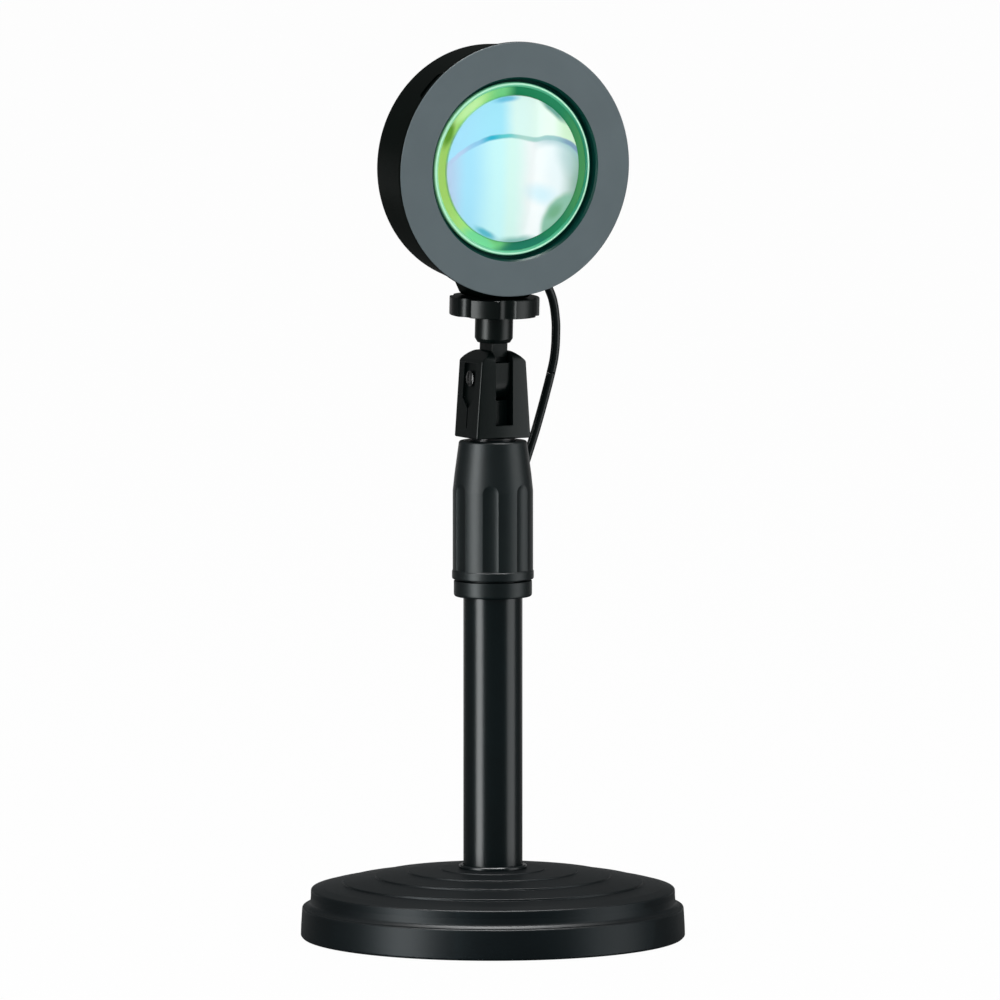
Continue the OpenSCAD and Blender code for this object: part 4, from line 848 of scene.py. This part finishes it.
# the rim: a painted reflection in mint with a painted highlight round its crown, and painted
# shade in deep green outside at the right
rim_reflection = bands(moved.outputs["X"], -29, 29, [
    (-28, tone(150, 226, 170)), (-6, tone(112, 206, 160)), (14, tone(84, 184, 142)),
    (28, tone(40, 138, 104))])
crown_highlight = both(fade(radius.outputs["Value"], 28.05, 28.3),
             fade(radius.outputs["Value"], 28.85, 28.6))
rim_reflection = blended(rim_reflection, tone(196, 255, 222), crown_highlight)
rim_reflection = blended(rim_reflection, tone(14, 84, 60), both(
    fade(radius.outputs["Value"], 28.8, 29.0), fade(moved.outputs["X"], -6, 18)))
tint = blended(rim_reflection, flange_reflection, inside(27.45, 0.1))
tint = blended(tint, dome_reflection, inside(24.6, 0.15))
links.new(tint, shader.inputs["Base Color"])
skin = nodes.new("ShaderNodeTexNoise")
skin.inputs["Scale"].default_value = 0.35
skin.inputs["Detail"].default_value = 2
links.new(to_face.outputs["Vector"], skin.inputs["Vector"])
ripple = nodes.new("ShaderNodeBump")
ripple.inputs["Strength"].default_value = 0.06
ripple.inputs["Distance"].default_value = 0.0001
links.new(skin.outputs["Fac"], ripple.inputs["Height"])
links.new(ripple.outputs["Normal"], shader.inputs["Normal"])
place(lens, FACE)
finish_piece(lens, "head", "lens_glass", lens_reflection_paint, "lens")
rubber = finish_of("soft_rubber", (0.003, 0.004, 0.004), rough=0.6, sheen_coat=0.05,
                   coat_rough=0.5, grain=1800, relief=0.2)
dress(rubber, "lens_gasket")
dress(shell_black, "lens_ring")

# ---------------------------------------------------------------- light unit
# Inside the head: a spun bright reflector on three posts, an orange filter glass in its throat,
# a yellow-gelled chip on a white board, an alloy heat plate and a green driver board.
dress(finish_of("bright_reflector", (0.80, 0.81, 0.83), rough=0.12, sheen_coat=0, metal=1.0,
                grain=500, relief=0.04, specular=0.5), "reflector")
dress(steel, "reflector_screws", "board_screws", "driver_screws")
dress(shell_black, "filter_ring")
dress(finish_of("phosphor_gel", (0.80, 0.68, 0.20), rough=0.6, sheen_coat=0.3, grain=2600,
                relief=0.2, specular=0.4), "led_chip")
dress(finish_of("white_lacquer", (0.75, 0.76, 0.77), rough=0.35, sheen_coat=0.3, grain=700,
                relief=0.05, specular=0.4), "led_board")
dress(finish_of("green_board", (0.006, 0.05, 0.02), rough=0.5, sheen_coat=0.03, grain=700,
                relief=0.08), "driver_board")
dress(finish_of("dull_alloy", (0.16, 0.163, 0.168), rough=0.5, sheen_coat=0.01,
                grain=800), "heat_plate")
amber = finish_of("amber_glass", (0.85, 0.36, 0.08), rough=0.05, sheen_coat=0, grain=600,
                  relief=0.02, tone=0.05, specular=0.5)
amber.node_tree.nodes["Principled BSDF"].inputs["Transmission Weight"].default_value = 0.8
dress(amber, "filter_glass")

# ---------------------------------------------------------------- lead gland
# A ribbed nose moulded in soft rubber, pushed through the shell and square to it. It keeps the
# lead from kinking where it leaves.
gland = place(turned("lead_gland_ribbed", [
    [0, -3.3, 0], [3.5, -3.3, 0.2], [3.5, -2.1, 0.2], [2.55, -2.1, 0], [2.55, 0.05, 0],
    [3.3, 0.05, 0.1], [3.2, 1.0, 0.3], [2.7, 1.2, 0.1], [2.7, 1.6, 0.1], [2.95, 1.75, 0.2],
    [2.8, 2.4, 0.2], [2.4, 2.5, 0.1], [2.4, 2.85, 0.1], [2.6, 3.0, 0.15], [2.35, 3.8, 0.2],
    [2.1, 4.4, 0.25], [0, 4.4, 0]], steps=64),
    FACE @ turn(-62, "Z") @ shift(40.505, 0, -4) @ turn(95.87, "Y"))
finish_piece(gland, "head", "rubber_black", rubber, "lead_gland")

# ---------------------------------------------------------------- coil tie, switch and plug
# A rubber strap holds the coil. The inline switch is a glossy two-piece case with a rocker, and
# the plug has a moulded grip round a plated shell with a white tongue.
dress(rubber, "coil_tie")
dress(finish_of("gloss_case", (0.004, 0.004, 0.0045), rough=0.2, sheen_coat=0.6,
                coat_rough=0.12, grain=900, relief=0.05), "switch_base", "switch_cover")
dress(satin_black, "switch_button")
dress(lead_skin, "plug_body")
dress(finish_of("plated_shell", (0.62, 0.63, 0.65), rough=0.16, sheen_coat=0, metal=1.0,
                grain=700, relief=0.05, specular=0.5), "plug_shell")
dress(finish_of("white_tongue", (0.80, 0.80, 0.77), rough=0.45, sheen_coat=0.2, grain=900,
                specular=0.4), "plug_insert")

# ---------------------------------------------------------------- floor and surround
# A plain pale floor that keeps a faint shadow, and a white surround.
FLOOR_WHITE = 0.97                            # how much of what the floor shows is plain white


def shown_white(nodes, links):
    """1 for the rays that see a backdrop as plain white: camera, glass and gloss rays."""
    rays = nodes.new("ShaderNodeLightPath")
    seen = rays.outputs["Is Camera Ray"]
    for kind in ("Is Transmission Ray", "Is Glossy Ray"):
        larger = nodes.new("ShaderNodeMath")
        larger.operation = "MAXIMUM"
        links.new(seen, larger.inputs[0])
        links.new(rays.outputs[kind], larger.inputs[1])
        seen = larger.outputs["Value"]
    return seen


bpy.ops.object.select_all(action="DESELECT")
bpy.ops.mesh.primitive_plane_add(size=14, location=(0, 0, 0))
floor = bpy.context.object
floor.name = "floor"
floor_paint = bpy.data.materials.new("floor_paint")
floor_paint.use_nodes = True
nodes, links = floor_paint.node_tree.nodes, floor_paint.node_tree.links
shader = nodes["Principled BSDF"]
shader.inputs["Base Color"].default_value = (0.8, 0.8, 0.8, 1)
shader.inputs["Roughness"].default_value = 0.9
shader.inputs["Specular IOR Level"].default_value = 0
glow = nodes.new("ShaderNodeEmission")
glow.inputs["Color"].default_value = (1, 1, 1, 1)
glow.inputs["Strength"].default_value = 1
share = nodes.new("ShaderNodeMath")
share.operation = "MULTIPLY"
share.inputs[1].default_value = FLOOR_WHITE
links.new(shown_white(nodes, links), share.inputs[0])
mix = nodes.new("ShaderNodeMixShader")
links.new(share.outputs["Value"], mix.inputs["Fac"])
links.new(shader.outputs["BSDF"], mix.inputs[1])
links.new(glow.outputs["Emission"], mix.inputs[2])
links.new(mix.outputs["Shader"], nodes["Material Output"].inputs["Surface"])
floor.data.materials.append(floor_paint)
floor.visible_glossy = False

world = bpy.data.worlds.new("surround")
bpy.context.scene.world = world
world.use_nodes = True
nodes, links = world.node_tree.nodes, world.node_tree.links
surround = nodes["Background"]
surround.inputs["Color"].default_value = (1, 1, 1, 1)
surround.inputs["Strength"].default_value = 0.55
white = nodes.new("ShaderNodeBackground")
white.inputs["Color"].default_value = (1, 1, 1, 1)
white.inputs["Strength"].default_value = 1
mix = nodes.new("ShaderNodeMixShader")
links.new(shown_white(nodes, links), mix.inputs["Fac"])
links.new(surround.outputs["Background"], mix.inputs[1])
links.new(white.outputs["Background"], mix.inputs[2])
links.new(mix.outputs["Shader"], nodes["World Output"].inputs["Surface"])

# ---------------------------------------------------------------- lamps
# Two tall strips, one overhead and a low card behind are seen only in gloss, and give the black
# pieces their streaks and edges. Soft lamps in front, at one side and above light the colours at
# a plain level.


def soft_lamp(name, degrees, distance, up, width, height, power, gloss_only=False, aim_up=0.16):
    """A soft rectangular lamp, turned by an angle from the camera and aimed at the object. It
    either shows in gloss alone or lights alone."""
    data = bpy.data.lights.new(name, "AREA")
    data.shape = "RECTANGLE"
    data.size, data.size_y = width, height
    data.energy = power
    o = bpy.data.objects.new(name, data)
    bpy.context.scene.collection.objects.link(o)
    a = math.radians(degrees)
    o.location = (ACROSS * math.sin(a) - AWAY * math.cos(a)) * distance + Vector((0, 0, up))
    o.rotation_euler = (Vector((0, 0, aim_up)) - o.location).to_track_quat("-Z", "Y").to_euler()
    o.visible_diffuse = not gloss_only
    o.visible_glossy = gloss_only


soft_lamp("left_strip", -54, 2.2, 0.0, 1.0, 4.0, 826.7, gloss_only=True)
soft_lamp("right_strip", 76, 2.2, 0.0, 1.4, 4.0, 333.3, gloss_only=True)
soft_lamp("top_strip", 0, 0.1, 2.2, 1.6, 0.4, 1000, gloss_only=True)
soft_lamp("back_card", 180, 2.2, 0.05, 3.4, 0.5, 24, gloss_only=True, aim_up=0.05)
soft_lamp("front_lamp", 10, 2.4, 1.0, 1.4, 1.4, 21)
soft_lamp("side_lamp", -50, 2.2, 0.8, 1.0, 1.2, 10)
soft_lamp("top_lamp", 0, 0.5, 2.2, 1.2, 1.2, 12)
